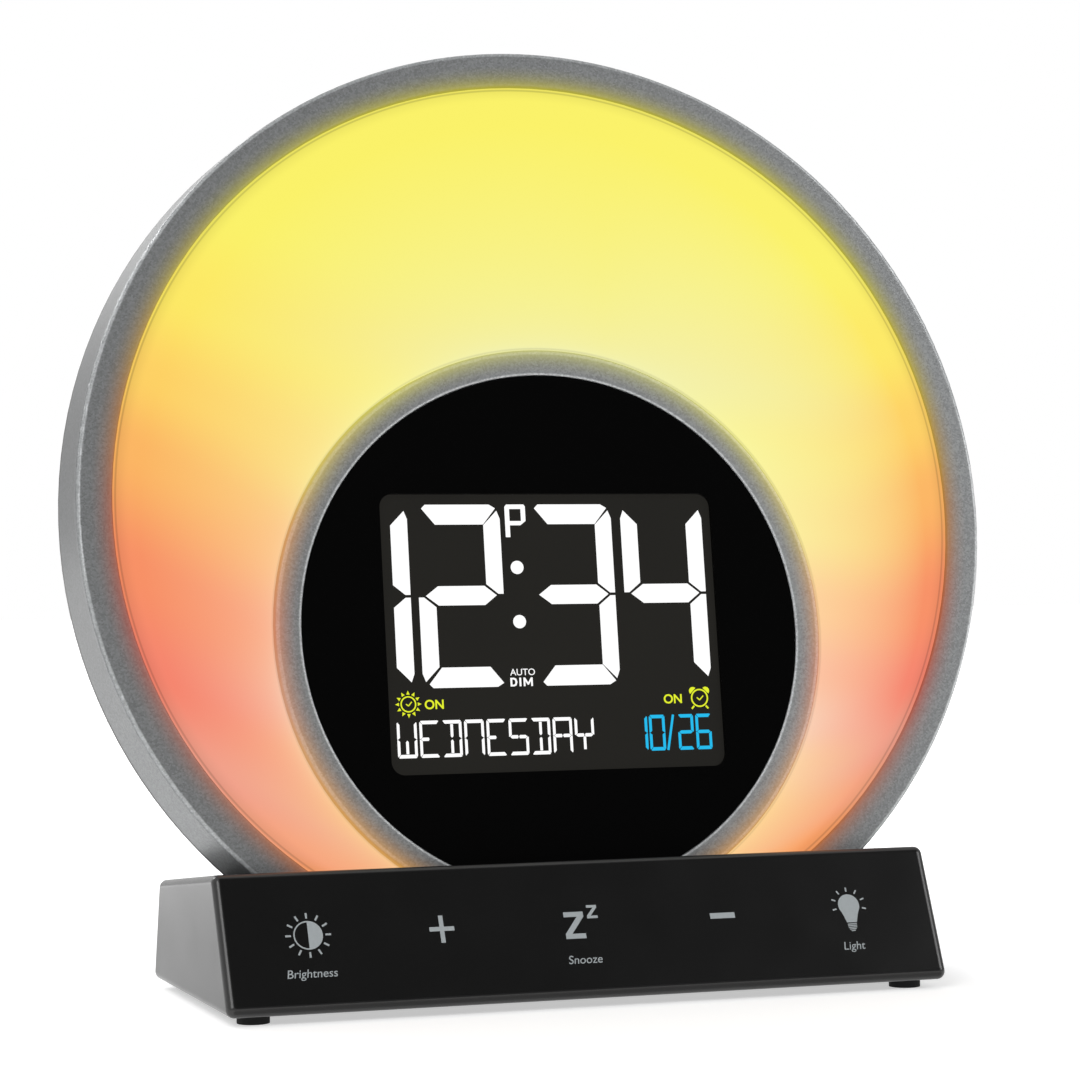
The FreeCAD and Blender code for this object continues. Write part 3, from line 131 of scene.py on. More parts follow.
def lacquer_tone_and_painted_light(tree, flake, height, outer, radius, across, painted_highlight_mm):
    """How light the lacquer is: its flakes, painted shade darker on the left, painted highlights on the
    rounded edges and painted shade on the side wall.
    """
    tone = node(tree, "MapRange", None, {"To Min": 0.80, "To Max": 1.20}, {"Value": flake}).outputs["Result"]
    # painted shade: the lacquer is made darker towards the left of the disc and lighter towards the right
    painted_side_shade = node(tree, "MapRange", None, {"From Min": -100, "From Max": 100, "To Min": 0.86, "To Max": 1.12},
                 {"Value": across}).outputs["Result"]
    tone = node(tree, "Math", {"operation": "MULTIPLY"}, links={0: tone, 1: painted_side_shade}).outputs["Value"]
    # painted highlight: the tone is nearly doubled in a thin band along each rounded edge
    for edge_mm in painted_highlight_mm:
        aside = node(tree, "Math", {"operation": "SUBTRACT"}, {1: edge_mm}, {0: radius}).outputs["Value"]
        aside = node(tree, "Math", {"operation": "ABSOLUTE"}, links={0: aside}).outputs["Value"]
        painted_edge_highlight = node(tree, "MapRange", {"interpolation_type": "SMOOTHSTEP"},
                    {"From Min": 0.15, "From Max": 0.5, "To Min": 1.9, "To Max": 1.0},
                    {"Value": aside}).outputs["Result"]
        tone = node(tree, "Math", {"operation": "MULTIPLY"}, links={0: tone, 1: painted_edge_highlight}).outputs["Value"]
    # painted shade: the side wall of the outer ring is painted darker, and lighter towards its foot
    wall = node(tree, "MapRange", {"interpolation_type": "SMOOTHSTEP"},
                {"From Min": SIDE_WALL_MM[0], "From Max": SIDE_WALL_MM[1]},
                {"Value": outer}).outputs["Result"]
    slant = node(tree, "MapRange", {"interpolation_type": "SMOOTHSTEP"},
                 {"From Min": -75, "From Max": -30, "To Min": 1.2, "To Max": 0.48},
                 {"Value": height}).outputs["Result"]
    painted_wall_shade = node(tree, "Mix", {"data_type": "FLOAT"}, {2: 1.0}, {0: wall, 3: slant}).outputs[0]
    return node(tree, "Math", {"operation": "MULTIPLY"}, links={0: tone, 1: painted_wall_shade}).outputs["Value"]


def spilled_light(tree, height, away, stops, glow, fade, deepening):
    """The panel's light on a ring: the share of it over the paint, and its glow."""
    near = node(tree, "MapRange", None, {"From Min": -0.3, "From Max": 5.0, "To Min": 1.0, "To Max": 0.0},
                {"Value": away}).outputs["Result"]
    fall = node(tree, "Math", {"operation": "POWER"}, {1: fade}, {0: near}).outputs["Value"]
    share = node(tree, "Math", {"operation": "MULTIPLY"}, {1: 0.85}, {0: fall}).outputs["Value"]
    colour = sunrise_ramp(tree, height, stops)
    deep = node(tree, "Gamma", None, {"Gamma": deepening}, {"Color": colour}).outputs["Color"]
    spill = node(tree, "Emission", None, {"Strength": glow}, {"Color": deep}).outputs["Emission"]
    return share, spill


def silver_flake_paint(name, code, outside, painted_highlight_mm, bare_mm, glow, fade, deepening):
    """Silver flake lacquer over ABS: a satin grey with a fine sparkle, and the panel's light painted on as a
    glow beside it.
    """
    material, tree, output = new_material(name)
    height, outer, inner, across, depth = disc_places(tree)
    place = node(tree, "TexCoord").outputs["Object"]
    # flakes of about 0.35 mm, coarser than real ones so that they show
    flakes = node(tree, "TexVoronoi", {"feature": "F1"}, {"Scale": FLAKES_PER_METRE},
                  {"Vector": place}).outputs["Color"]
    flake = node(tree, "SeparateColor", links={"Color": flakes}).outputs["Red"]
    tone = lacquer_tone_and_painted_light(tree, flake, height, outer, outer if outside else inner, across, painted_highlight_mm)
    # the lacquer stops just short of the back edge, where the black moulding shows
    covered = node(tree, "Math", {"operation": "LESS_THAN"}, {1: bare_mm}, {0: depth}).outputs["Value"]
    tone = node(tree, "Math", {"operation": "MULTIPLY"}, links={0: tone, 1: covered}).outputs["Value"]
    paint = node(tree, "Mix", {"data_type": "RGBA", "blend_type": "MULTIPLY"}, {0: 1.0, 6: linear(code)},
                 {7: tone}).outputs[2]
    rounded = node(tree, "Bevel", {"samples": 6}, {"Radius": 0.0007}).outputs["Normal"]
    grain = node(tree, "Bump", None, {"Strength": 0.10, "Distance": 0.0001},
                 {"Height": flake, "Normal": rounded}).outputs["Normal"]
    lacquer = node(tree, "BsdfPrincipled", None,
                   {"Metallic": 0.35, "Roughness": 0.42, "Coat Weight": 0.15, "Coat Roughness": 0.25},
                   {"Base Color": paint, "Normal": grain}).outputs["BSDF"]
    if outside:
        stops = RIM_COLOURS
        away = node(tree, "Math", {"operation": "SUBTRACT"}, {1: RING_INNER_MM}, {0: outer}).outputs["Value"]
    else:
        stops = CORE_COLOURS
        away = node(tree, "Math", {"operation": "SUBTRACT"}, {0: DISPLAY_RING_MM},
                    {1: inner}).outputs["Value"]
    share, spill = spilled_light(tree, height, away, stops, glow, fade, deepening)
    mixed = node(tree, "MixShader", links={0: share, 1: lacquer, 2: spill}).outputs["Shader"]
    tree.links.new(mixed, output.inputs["Surface"])
    return material


dress(silver_flake_paint("silver_flake_paint_outer", "#8D8F90", outside=True, painted_highlight_mm=[98.5], bare_mm=14.4,
                         glow=0.50, fade=2.1, deepening=1.15), "outer_bezel")
dress(silver_flake_paint("silver_flake_paint_inner", "#969899", outside=False, painted_highlight_mm=[54.2, 58.9],
                         bare_mm=13.0, glow=0.78, fade=1.9, deepening=1.7), "inner_bezel")


# Diffuser: a crescent moulded in opal acrylic and lit from behind by colour lamps. The opal
# hides the lamps, so the eye sees one smooth blend from yellow at the top to orange and pink
# at the sides, which pales near the display's ring.

material, tree, output = new_material("opal_acrylic_lit")
height, outer, inner, across = disc_places(tree)[:4]
from_ring = node(tree, "Math", {"operation": "SUBTRACT"}, {1: DISPLAY_RING_MM}, {0: inner}).outputs["Value"]
to_rim = node(tree, "Math", {"operation": "SUBTRACT"}, {0: RING_INNER_MM}, {1: outer}).outputs["Value"]
width = node(tree, "Math", {"operation": "ADD"}, links={0: from_ring, 1: to_rim}).outputs["Value"]
share = node(tree, "Math", {"operation": "DIVIDE", "use_clamp": True},
             links={0: from_ring, 1: width}).outputs["Value"]
# the core's colours give way to the rim's early on the left and late on the right
full = node(tree, "MapRange", None, {"From Min": 0.01, "From Max": 0.85}, {"Value": share}).outputs["Result"]
bend = node(tree, "MapRange", None, {"From Min": 15, "From Max": 85, "To Min": 0.44, "To Max": 1.6},
            {"Value": across}).outputs["Result"]
blend = node(tree, "Math", {"operation": "POWER"}, links={0: full, 1: bend}).outputs["Value"]
lifted = node(tree, "MapRange", None, {"To Min": 16.0, "To Max": 0.0}, {"Value": share}).outputs["Result"]
level = node(tree, "Math", {"operation": "MULTIPLY_ADD"}, {1: -0.07}, {0: across, 2: height}).outputs["Value"]
rim_height = node(tree, "Math", {"operation": "ADD"}, links={0: level, 1: lifted}).outputs["Value"]
core = sunrise_ramp(tree, height, CORE_COLOURS)
rim = sunrise_ramp(tree, rim_height, RIM_COLOURS)
lit = node(tree, "Mix", {"data_type": "RGBA"}, links={0: blend, 6: core, 7: rim}).outputs[2]
# painted shade under the ring's lip over the last 3.5 mm, and painted shadow lines at a moulded step and the
# small ring
shade = node(tree, "MapRange", {"interpolation_type": "SMOOTHSTEP"},
             {"From Max": 3.5, "To Min": 0.86, "To Max": 1.0}, {"Value": to_rim}).outputs["Result"]
step_mm = node(tree, "MapRange", None, {"From Min": -85, "From Max": 85, "To Min": 0.6, "To Max": 1.1},
               {"Value": across}).outputs["Result"]
aside = node(tree, "Math", {"operation": "SUBTRACT"}, links={0: to_rim, 1: step_mm}).outputs["Value"]
aside = node(tree, "Math", {"operation": "ABSOLUTE"}, links={0: aside}).outputs["Value"]
step_shadow_line = node(tree, "MapRange", {"interpolation_type": "SMOOTHSTEP"},
                 {"From Min": 0.06, "From Max": 0.30, "To Min": 0.72, "To Max": 1.0},
                 {"Value": aside}).outputs["Result"]
ring_shadow_line = node(tree, "MapRange", {"interpolation_type": "SMOOTHSTEP"},
                 {"From Min": 0.35, "From Max": 0.75, "To Min": 0.82, "To Max": 1.0},
                 {"Value": from_ring}).outputs["Result"]
for line in (step_shadow_line, ring_shadow_line):
    shade = node(tree, "Math", {"operation": "MULTIPLY"}, links={0: shade, 1: line}).outputs["Value"]
shaded = node(tree, "Mix", {"data_type": "RGBA", "blend_type": "MULTIPLY"}, {0: 1.0},
              {6: lit, 7: shade}).outputs[2]
shader = node(tree, "BsdfPrincipled", None,
              {"Base Color": linear("#101010"), "Roughness": 0.45, "IOR": 1.49, "Specular IOR Level": 0.2,
               "Emission Strength": 1.0}, {"Emission Color": shaded})
tree.links.new(shader.outputs["BSDF"], output.inputs["Surface"])
dress(material, "diffuser")


# Display lens: a disc of black-backed acrylic, set into the small ring. A low-reflection hard
# coat keeps it almost pure black.

material, tree, output = new_material("black_backed_acrylic")
place = node(tree, "TexCoord").outputs["Object"]
# the coat's sheen wavers over some 17 mm
haze = node(tree, "TexNoise", None, {"Scale": 60.0, "Detail": 3.0}, {"Vector": place}).outputs["Fac"]
rough = node(tree, "MapRange", None, {"To Min": 0.10, "To Max": 0.16}, {"Value": haze}).outputs["Result"]
shader = node(tree, "BsdfPrincipled", None,
              {"Base Color": linear("#060606"), "IOR": 1.49, "Specular IOR Level": 0.08},
              {"Roughness": rough})
tree.links.new(shader.outputs["BSDF"], output.inputs["Surface"])
dress(material, "display_lens")


# Liquid crystal glass: a glass cell in its frame behind the lens's window. The backlight
# leaks a little through its dark ground, which looks a warm dark grey.

material, tree, output = new_material("liquid_crystal_glass")
place = node(tree, "TexCoord").outputs["Object"]
# the backlight is uneven over some 30 mm
cloud = node(tree, "TexNoise", None, {"Scale": 35.0, "Detail": 1.0}, {"Vector": place}).outputs["Fac"]
ground = node(tree, "Mix", {"data_type": "RGBA"}, {6: linear("#1F1E1C"), 7: linear("#23221F")},
              {0: cloud}).outputs[2]
shader = node(tree, "BsdfPrincipled", None,
              {"Base Color": linear("#0A0A09"), "Roughness": 0.2, "Specular IOR Level": 0.12,
               "Emission Strength": 1.0}, {"Emission Color": ground})
tree.links.new(shader.outputs["BSDF"], output.inputs["Surface"])
dress(material, "lcd_glass")


# Time: four tall digits with slanted ends and two dots, in white. They are segments of the
# liquid crystal glass that let the backlight through, and each group of them is a thin flat
# plate on the front of the glass, drawn in mm from the disc's middle.

GLASS_FRONT_MM = 1.42
PLATE_MM = 0.04
ON_GLASS = (DISC @ Matrix.Translation((0, (GLASS_FRONT_MM - PLATE_MM) / 1000, 0))
            @ Matrix.Rotation(math.radians(90), 4, "X") @ Matrix.Scale(0.001, 4))


def laid(shape, place):
    """Turns a flat curve or text into a mesh and lays it in its place."""
    bpy.ops.object.select_all(action="DESELECT")
    shape.select_set(True)
    bpy.context.view_layer.objects.active = shape
    bpy.ops.object.convert(target="MESH")
    bpy.ops.object.mode_set(mode="EDIT")
    bpy.ops.mesh.select_all(action="SELECT")
    bpy.ops.mesh.remove_doubles(threshold=0.0005)
    bpy.ops.mesh.normals_make_consistent(inside=False)
    bpy.ops.object.mode_set(mode="OBJECT")
    shape.data.transform(place @ shape.matrix_basis)
    shape.matrix_basis = Matrix.Identity(4)
    return shape


def flat_shape(name, loops, place):
    """A thin plate cut to closed outlines drawn in mm: a loop inside another is a hole."""
    curve = bpy.data.curves.new(name, "CURVE")
    curve.dimensions = "2D"
    curve.fill_mode = "BOTH"
    curve.extrude = PLATE_MM / 2
    for loop in loops:
        spline = curve.splines.new("POLY")
        spline.points.add(len(loop) - 1)
        for point, (x, y) in zip(spline.points, loop):
            point.co = (x, y, 0, 1)
        spline.use_cyclic_u = True
    shape = bpy.data.objects.new(name, curve)
    bpy.context.collection.objects.link(shape)
    return laid(shape, place)


def finish_piece(piece, material, body="clock"):
    """Gives a new piece its finish and the body that it rides on."""
    piece.data.materials.clear()
    piece.data.materials.append(material)
    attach(piece, body)


def ring_points(x, y, radius, count=40, start=0.0, turn=360.0):
    """Points on a circle or an arc."""
    steps = count if abs(turn) >= 360 else count - 1
    angles = [math.radians(start + turn * i / steps) for i in range(count)]
    return [(x + radius * math.cos(a), y + radius * math.sin(a)) for a in angles]


def moved(shapes, x, y):
    """Shapes drawn about a middle, moved to their place."""
    return [[(px + x, py + y) for px, py in shape] for shape in shapes]


def segments(lit, left, top, wide, high, stroke, bar_high):
    """One character's lit segments: a to g, h and k halves of the middle, u and l halves of its upright."""
    s, t, half = stroke, bar_high, high / 2
    top_bar = [(0.38 * s, half - 0.19 * t), (0.60 * s, half), (wide - 0.62 * s, half),
               (wide - 0.25 * s, half - 0.19 * t), (wide - 1.01 * s, half - t), (1.15 * s, half - t)]
    side = [(wide - 0.18 * s, half - 0.31 * t), (wide, half - 0.72 * t), (wide, 0.07 * t),
            (wide - 0.30 * s, 0.07 * t), (wide - 1.0 * s, 0.56 * t), (wide - 1.0 * s, half - 1.03 * t)]
    middle = [(0.41 * s, 0), (1.15 * s, 0.48 * t), (wide - 1.12 * s, 0.48 * t), (wide - 0.41 * s, 0),
              (wide - 1.12 * s, -0.48 * t), (1.15 * s, -0.48 * t)]
    half_bar = [(0.41 * s, 0), (1.15 * s, 0.48 * t), (wide / 2 - 0.4 * s, 0.48 * t), (wide / 2 - 0.12 * s, 0),
                (wide / 2 - 0.4 * s, -0.48 * t), (1.15 * s, -0.48 * t)]
    upright = [(wide / 2 - s / 2, 0.7 * t), (wide / 2, 0.25 * t), (wide / 2 + s / 2, 0.7 * t),
               (wide / 2 + s / 2, half - 1.15 * t), (wide / 2 - s / 2, half - 1.15 * t)]
    far_side = [(wide - x, y) for x, y in side]
    drawn = {"a": top_bar, "b": side, "c": [(x, -y) for x, y in side], "d": [(x, -y) for x, y in top_bar],
             "e": [(x, -y) for x, y in far_side], "f": far_side, "g": middle, "h": half_bar,
             "k": [(wide - x, y) for x, y in half_bar], "u": upright, "l": [(x, -y) for x, y in upright]}
    return moved([drawn[letter] for letter in lit], left, top - half)


def lit_ink(name, code, strength=1.0):
    """A lit segment, which glows in one colour, but for a trace of unevenness some 2.5 mm across."""
    material, tree, output = new_material(name)
    place = node(tree, "TexCoord").outputs["Object"]
    grain = node(tree, "TexNoise", None, {"Scale": 400.0, "Detail": 1.0}, {"Vector": place}).outputs["Fac"]
    level = node(tree, "MapRange", None, {"To Min": 0.97, "To Max": 1.03}, {"Value": grain}).outputs["Result"]
    glow = node(tree, "Mix", {"data_type": "RGBA", "blend_type": "MULTIPLY"}, {0: 1.0, 6: linear(code)},
                {7: level}).outputs[2]
    shader = node(tree, "BsdfPrincipled", None,
                  {"Base Color": linear("#000000"), "Roughness": 0.4, "Specular IOR Level": 0.1,
                   "Emission Strength": strength}, {"Emission Color": glow})
    tree.links.new(shader.outputs["BSDF"], output.inputs["Surface"])
    return material


time_shapes = []
for lit, left in (("bc", -48.7), ("abged", -28.65), ("abgcd", -4.1), ("fgbc", 16.3)):
    time_shapes += segments(lit, left, top=1.1, wide=18.3, high=38.2, stroke=3.65, bar_high=4.2)
time_shapes += [ring_points(-7.1, -12.2, 1.4), ring_points(-7.2, -23.6, 1.4)]
white_light = lit_ink("lit_segment_white", "#FFFFFF", 1.05)
finish_piece(flat_shape("time_segments", time_shapes, ON_GLASS), white_light)


# Indicators: the afternoon letter above the dots, the dimmer's two short words below them,
# and nine segment letters for the weekday, all in the same white light.

WEEKDAY = ("fedcbl", "afedh", "abcdul", "abcef", "afedh", "afhkcd", "abcdul", "abcefhk", "fbhkl")
WEEKDAY_LEFT = -34.7
WEEKDAY_PITCH = 4.78
SMALL_TOP = -43.75


def lettering(name, words, x, y, size, place, bolder=0.0, slant=0.0, align="LEFT"):
    """Plain sans lettering in mm, standing on its baseline."""
    bpy.ops.object.text_add()
    text = bpy.context.object
    text.name = name
    text.data.body = words
    text.data.size = size
    text.data.offset = bolder
    text.data.shear = slant
    text.data.extrude = PLATE_MM / 2
    text.data.align_x = align
    text.location = (x, y, 0)
    bpy.context.view_layer.update()
    return laid(text, place)


def joined(name, shapes):
    """Makes one piece of several."""
    bpy.ops.object.select_all(action="DESELECT")
    for shape in shapes:
        shape.select_set(True)
    bpy.context.view_layer.objects.active = shapes[0]
    bpy.ops.object.join()
    shapes[0].name = name
    return shapes[0]


afternoon = [[(-9.2, 0.6), (-8.8, 1.1), (-5.0, 1.1), (-4.7, 0.7), (-4.7, -2.4), (-5.9, -3.3), (-8.2, -3.3),
              (-8.2, -5.8), (-9.2, -5.8)],
             [(-8.2, 0.15), (-5.7, 0.15), (-5.7, -2.4), (-8.2, -2.4)]]
weekday = []
for k, lit in enumerate(WEEKDAY):
    left = WEEKDAY_LEFT + WEEKDAY_PITCH * k
    weekday += segments(lit, left, SMALL_TOP, wide=4.2, high=7.6, stroke=0.57, bar_high=0.72)
dimmer = [[(-9.9, -37.1), (-9.1, -37.1), (-8.62, -36.9), (-8.38, -36.2), (-8.62, -35.5), (-9.1, -35.3),
           (-9.9, -35.3)],
          [(-9.5, -36.75), (-9.18, -36.75), (-8.92, -36.62), (-8.8, -36.2), (-8.92, -35.78), (-9.18, -35.65),
           (-9.5, -35.65)],
          [(-7.95, -37.1), (-7.55, -37.1), (-7.55, -35.3), (-7.95, -35.3)],
          [(-7.05, -37.1), (-6.67, -37.1), (-6.67, -36.0), (-6.17, -36.8), (-5.93, -36.8), (-5.43, -36.0),
           (-5.43, -37.1), (-5.05, -37.1), (-5.05, -35.3), (-5.43, -35.3), (-6.05, -36.35), (-6.67, -35.3),
           (-7.05, -35.3)]]
indicators = joined("indicator_segments", [
    flat_shape("afternoon_mark", afternoon, ON_GLASS), flat_shape("weekday_segments", weekday, ON_GLASS),
    lettering("auto_mark", "AUTO", -9.85, -34.8, 1.95, ON_GLASS, bolder=0.004),
    flat_shape("dim_mark", dimmer, ON_GLASS)])
finish_piece(indicators, white_light)


# Date: four small segment digits with a slanted stroke between month and day. A blue film
# behind this corner of the glass tints the backlight.


def bar(x0, y0, x1, y1, width):
    """A straight bar between two points."""
    way = Vector((x1 - x0, y1 - y0)).normalized() * (width / 2)
    return [(x0 - way.y, y0 + way.x), (x0 + way.y, y0 - way.x),
            (x1 + way.y, y1 - way.x), (x1 - way.y, y1 + way.x)]


date_shapes = [bar(23.95, -51.2, 25.45, -43.8, 0.5)]
for lit, left in (("bc", 16.1), ("abcdef", 20.0), ("abged", 26.4), ("afgcde", 30.4)):
    date_shapes += segments(lit, left, SMALL_TOP, wide=3.5, high=7.5, stroke=0.60, bar_high=0.72)
finish_piece(flat_shape("date_segments", date_shapes, ON_GLASS), lit_ink("lit_segment_blue", "#22BCEE"))


# Alarm marks: a sun and an alarm clock, each with its hands and a short word beside it, in
# yellow light. They show that both alarms are set.

NEARLY_ROUND = 359.9


def arc_band(x, y, inner_radius, outer_radius, start, turn, count):
    """A bent bar between two radii."""
    return (ring_points(x, y, outer_radius, count, start, turn)
            + ring_points(x, y, inner_radius, count, start + turn, -turn))


sun_mark = [arc_band(0, 0, 1.40, 1.68, 0, NEARLY_ROUND, 48), bar(0, -0.35, 0.75, 0.5, 0.22),
            bar(0.02, -0.35, -0.5, 0.05, 0.22)]
for k in range(12):
    tip = Vector((math.cos(math.radians(30 * k)), math.sin(math.radians(30 * k))))
    side = Vector((-tip.y, tip.x)) * 0.36
    sun_mark.append([tuple(p) for p in (tip * 2.0 + side, tip * 2.0 - side, tip * 2.8)])
bell_mark = [arc_band(0, 0, 1.62, 1.93, 0, NEARLY_ROUND, 48), bar(-0.05, -0.45, 0.85, 0.45, 0.24),
             bar(0, -0.42, -0.6, 0.1, 0.24)]
for way in (-1, 1):
    bell_mark.append(arc_band(way * 1.42, 1.5, 0.0, 0.85, -way * 45, 180, 16))
    bell_mark.append(bar(way * 1.3, -1.65, way * 1.85, -2.25, 0.36))
alarm_marks = joined("alarm_marks", [
    flat_shape("sun_mark", moved(sun_mark, -32.0, -40.3), ON_GLASS),
    flat_shape("alarm_clock_mark", moved(bell_mark, 31.65, -40.4), ON_GLASS),
    lettering("sun_on", "ON", -28.6, -41.35, 2.65, ON_GLASS, bolder=0.05),
    lettering("alarm_on", "ON", 23.55, -41.35, 2.65, ON_GLASS, bolder=0.05)])
finish_piece(alarm_marks, lit_ink("lit_segment_yellow", "#E6F22E"))


# Base shell: moulded in black ABS from a polished tool. Its buffed flat faces look deep black
# from the front and mirror the light room softly at the sides. Its rounded edges carry a painted highlight, a
# lighter grey colour.

FRONT_SLOPE = math.radians(26)
REAR_SLOPE = math.radians(15.3)
FLAT_FACES = ((0, -math.cos(FRONT_SLOPE), math.sin(FRONT_SLOPE)),
              (0, math.cos(REAR_SLOPE), math.sin(REAR_SLOPE)), (1, 0, 0), (0, 0, 1))

material, tree, output = new_material("polished_black_abs")
place = node(tree, "TexCoord").outputs["Object"]
# soft waviness of a moulded face, some 12 mm long
wave = node(tree, "TexNoise", None, {"Scale": 80.0, "Detail": 1.0}, {"Vector": place}).outputs["Fac"]
rough = node(tree, "MapRange", None, {"To Min": 0.20, "To Max": 0.28}, {"Value": wave}).outputs["Result"]
swell = node(tree, "Bump", None, {"Strength": 0.03, "Distance": 0.0003}, {"Height": wave}).outputs["Normal"]
facing = node(tree, "NewGeometry").outputs["True Normal"]
flat = None
for face in FLAT_FACES:
    turned = node(tree, "VectorMath", {"operation": "DOT_PRODUCT"}, {1: face}, {0: facing}).outputs["Value"]
    turned = node(tree, "Math", {"operation": "ABSOLUTE"}, links={0: turned}).outputs["Value"]
    if flat:
        turned = node(tree, "Math", {"operation": "MAXIMUM"}, links={0: turned, 1: flat}).outputs["Value"]
    flat = turned
# painted highlight: the colour turns from near black to a lighter grey where the shell rounds away from its
# flat faces
painted_base_edge_highlight = node(tree, "MapRange", {"interpolation_type": "SMOOTHSTEP"},
            {"From Min": 0.93, "From Max": 0.995, "To Min": 1.0, "To Max": 0.0},
            {"Value": flat}).outputs["Result"]
black = node(tree, "Mix", {"data_type": "RGBA"}, {6: linear("#111111"), 7: linear("#3E3E3E")},
             {0: painted_base_edge_highlight}).outputs[2]
shader = node(tree, "BsdfPrincipled", None, {"IOR": 1.53, "Specular IOR Level": 0.36},
              {"Base Color": black, "Roughness": rough, "Normal": swell})
tree.links.new(shader.outputs["BSDF"], output.inputs["Surface"])
dress(material, "base_shell")


# Touch key marks: pad-printed in light grey ink on the sloping front face, over the sensing
# pads behind it. Each is a thin film that follows the face, with a plain word under three.

INK_LIFT = 0.00002
FRONT = (Matrix.Translation((0, -0.0341, 0.0018)) @ Matrix.Rotation(-FRONT_SLOPE, 4, "X")
         @ Matrix.Translation((0, -INK_LIFT, 0)) @ Matrix.Rotation(math.radians(90), 4, "X")
         @ Matrix.Scale(0.001, 4))


def ray(degrees, near, far, width, y=0.0):
    """A bar that points away from a middle."""
    c, s = math.cos(math.radians(degrees)), math.sin(math.radians(degrees))
    return bar(near * c, y + near * s, far * c, y + far * s, width)


def printed_ink(name, code):
    """Matt ink, faintly speckled by its pad. The speckle is drawn 0.4 mm coarse so that it shows."""
    material, tree, output = new_material(name)
    place = node(tree, "TexCoord").outputs["Object"]
    speckle = node(tree, "TexNoise", None, {"Scale": 2500.0, "Detail": 2.0}, {"Vector": place}).outputs["Fac"]
    level = node(tree, "MapRange", None, {"To Min": 0.90, "To Max": 1.10},
                 {"Value": speckle}).outputs["Result"]
    ink = node(tree, "Mix", {"data_type": "RGBA", "blend_type": "MULTIPLY"}, {0: 1.0, 6: linear(code)},
               {7: level}).outputs[2]
    shader = node(tree, "BsdfPrincipled", None, {"Roughness": 0.6}, {"Base Color": ink})
    tree.links.new(shader.outputs["BSDF"], output.inputs["Surface"])
    return material


half_disc = [(0, 2.95), (0, -2.95)] + ring_points(0, 0, 2.95, 40, -90, 180)[1:-1]
brightness = [arc_band(0, 0, 2.68, 2.95, 90, 180, 40), half_disc]
brightness += [ray(30 * k, 3.45, 4.6, 0.38) for k in range(12)]
plus = [(-31.6, 19.2), (-30.7, 19.2), (-30.7, 16.85), (-28.6, 16.85), (-28.6, 15.95), (-30.7, 15.95),
        (-30.7, 13.5), (-31.6, 13.5), (-31.6, 15.95), (-33.7, 15.95), (-33.7, 16.85), (-31.6, 16.85)]
minus = [(25.7, 15.8), (31.1, 15.8), (31.1, 17.0), (25.7, 17.0)]
doze = []
for left, low, wide, high, thick in ((-5.65, 13.0, 4.25, 5.65, 1.05), (-0.6, 17.15, 2.25, 2.8, 0.55)):
    lean = thick * 1.25
    doze.append([(left, low), (left + wide, low), (left + wide, low + thick),
                 (left + lean + 0.12, low + thick), (left + wide, low + high - thick),
                 (left + wide, low + high), (left + 0.1, low + high), (left + 0.1, low + high - thick),
                 (left + wide - lean - 0.12, low + high - thick), (left, low + thick)])
bulb = [ring_points(0, 0, 2.35, 30, -35, 250) + [(-1.55, -2.3), (-1.1, -3.75), (1.1, -3.75), (1.55, -2.3)]]
for k, half in enumerate((1.0, 1.0, 0.95, 0.75, 0.45)):
    low = -4.25 - 0.36 * k
    bulb.append([(-half, low), (half, low + 0.08), (half, low + 0.30), (-half, low + 0.22)])
bulb += [ray(-14 + 34.7 * k, 2.95, 3.85, 0.32) for k in range(7)]
front_marks = [flat_shape("brightness_mark", moved(brightness, -58.3, 16.4), FRONT),
               flat_shape("plus_minus_marks", [plus, minus], FRONT),
               flat_shape("doze_marks", doze, FRONT),
               flat_shape("bulb_mark", moved(bulb, 56.6, 17.35), FRONT)]
for name, word, x in (("brightness_word", "Brightness", -58.4), ("doze_word", "Snooze", -2.4),
                      ("light_word", "Light", 56.0)):
    front_marks.append(lettering(name, word, x, 7.75, 2.45, FRONT, slant=0.14, align="CENTER"))
finish_piece(joined("front_key_marks", front_marks), printed_ink("pad_print_grey", "#AFB6B9"))


# Rear cover, battery door, base bottom and the small frames: moulded in black ABS from
# spark-eroded tools, which leave a fine matt grain that looks charcoal in the light.


def grained_plastic(name, code, grain_mm, roughness, depth):
    """Moulded plastic with a grain of a given size and depth, and a tone that drifts over 30 mm."""
    material, tree, output = new_material(name)
    place = node(tree, "TexCoord").outputs["Object"]
    # the grain is drawn several times coarser than a real one so that it shows
    grain = node(tree, "TexNoise", None, {"Scale": 1000.0 / grain_mm, "Detail": 3.0},
                 {"Vector": place}).outputs["Fac"]
    broad = node(tree, "TexNoise", None, {"Scale": 30.0, "Detail": 2.0}, {"Vector": place}).outputs["Fac"]
    level = node(tree, "MapRange", None, {"To Min": 0.88, "To Max": 1.12}, {"Value": broad}).outputs["Result"]
    colour = node(tree, "Mix", {"data_type": "RGBA", "blend_type": "MULTIPLY"}, {0: 1.0, 6: linear(code)},
                  {7: level}).outputs[2]
    rough = node(tree, "MapRange", None, {"To Min": roughness - 0.06, "To Max": roughness + 0.06},
                 {"Value": grain}).outputs["Result"]
    bump = node(tree, "Bump", None, {"Strength": 0.35, "Distance": depth},
                {"Height": grain}).outputs["Normal"]
    shader = node(tree, "BsdfPrincipled", None, {"IOR": 1.53},
                  {"Base Color": colour, "Roughness": rough, "Normal": bump})
    tree.links.new(shader.outputs["BSDF"], output.inputs["Surface"])
    return material


eroded_abs = grained_plastic("spark_eroded_black_abs", "#1E1E1F", 0.5, 0.55, 0.00006)
dress(eroded_abs, "rear_cover", "battery_door", "base_bottom", "cell_holder", "lcd_frame", "dc_jack_body")


# Push keys, feet and gasket: the keys are moulded in a rubberised grade, softer and slightly
# greyer than the cover, and the feet and the speaker's gasket are dull black rubber.

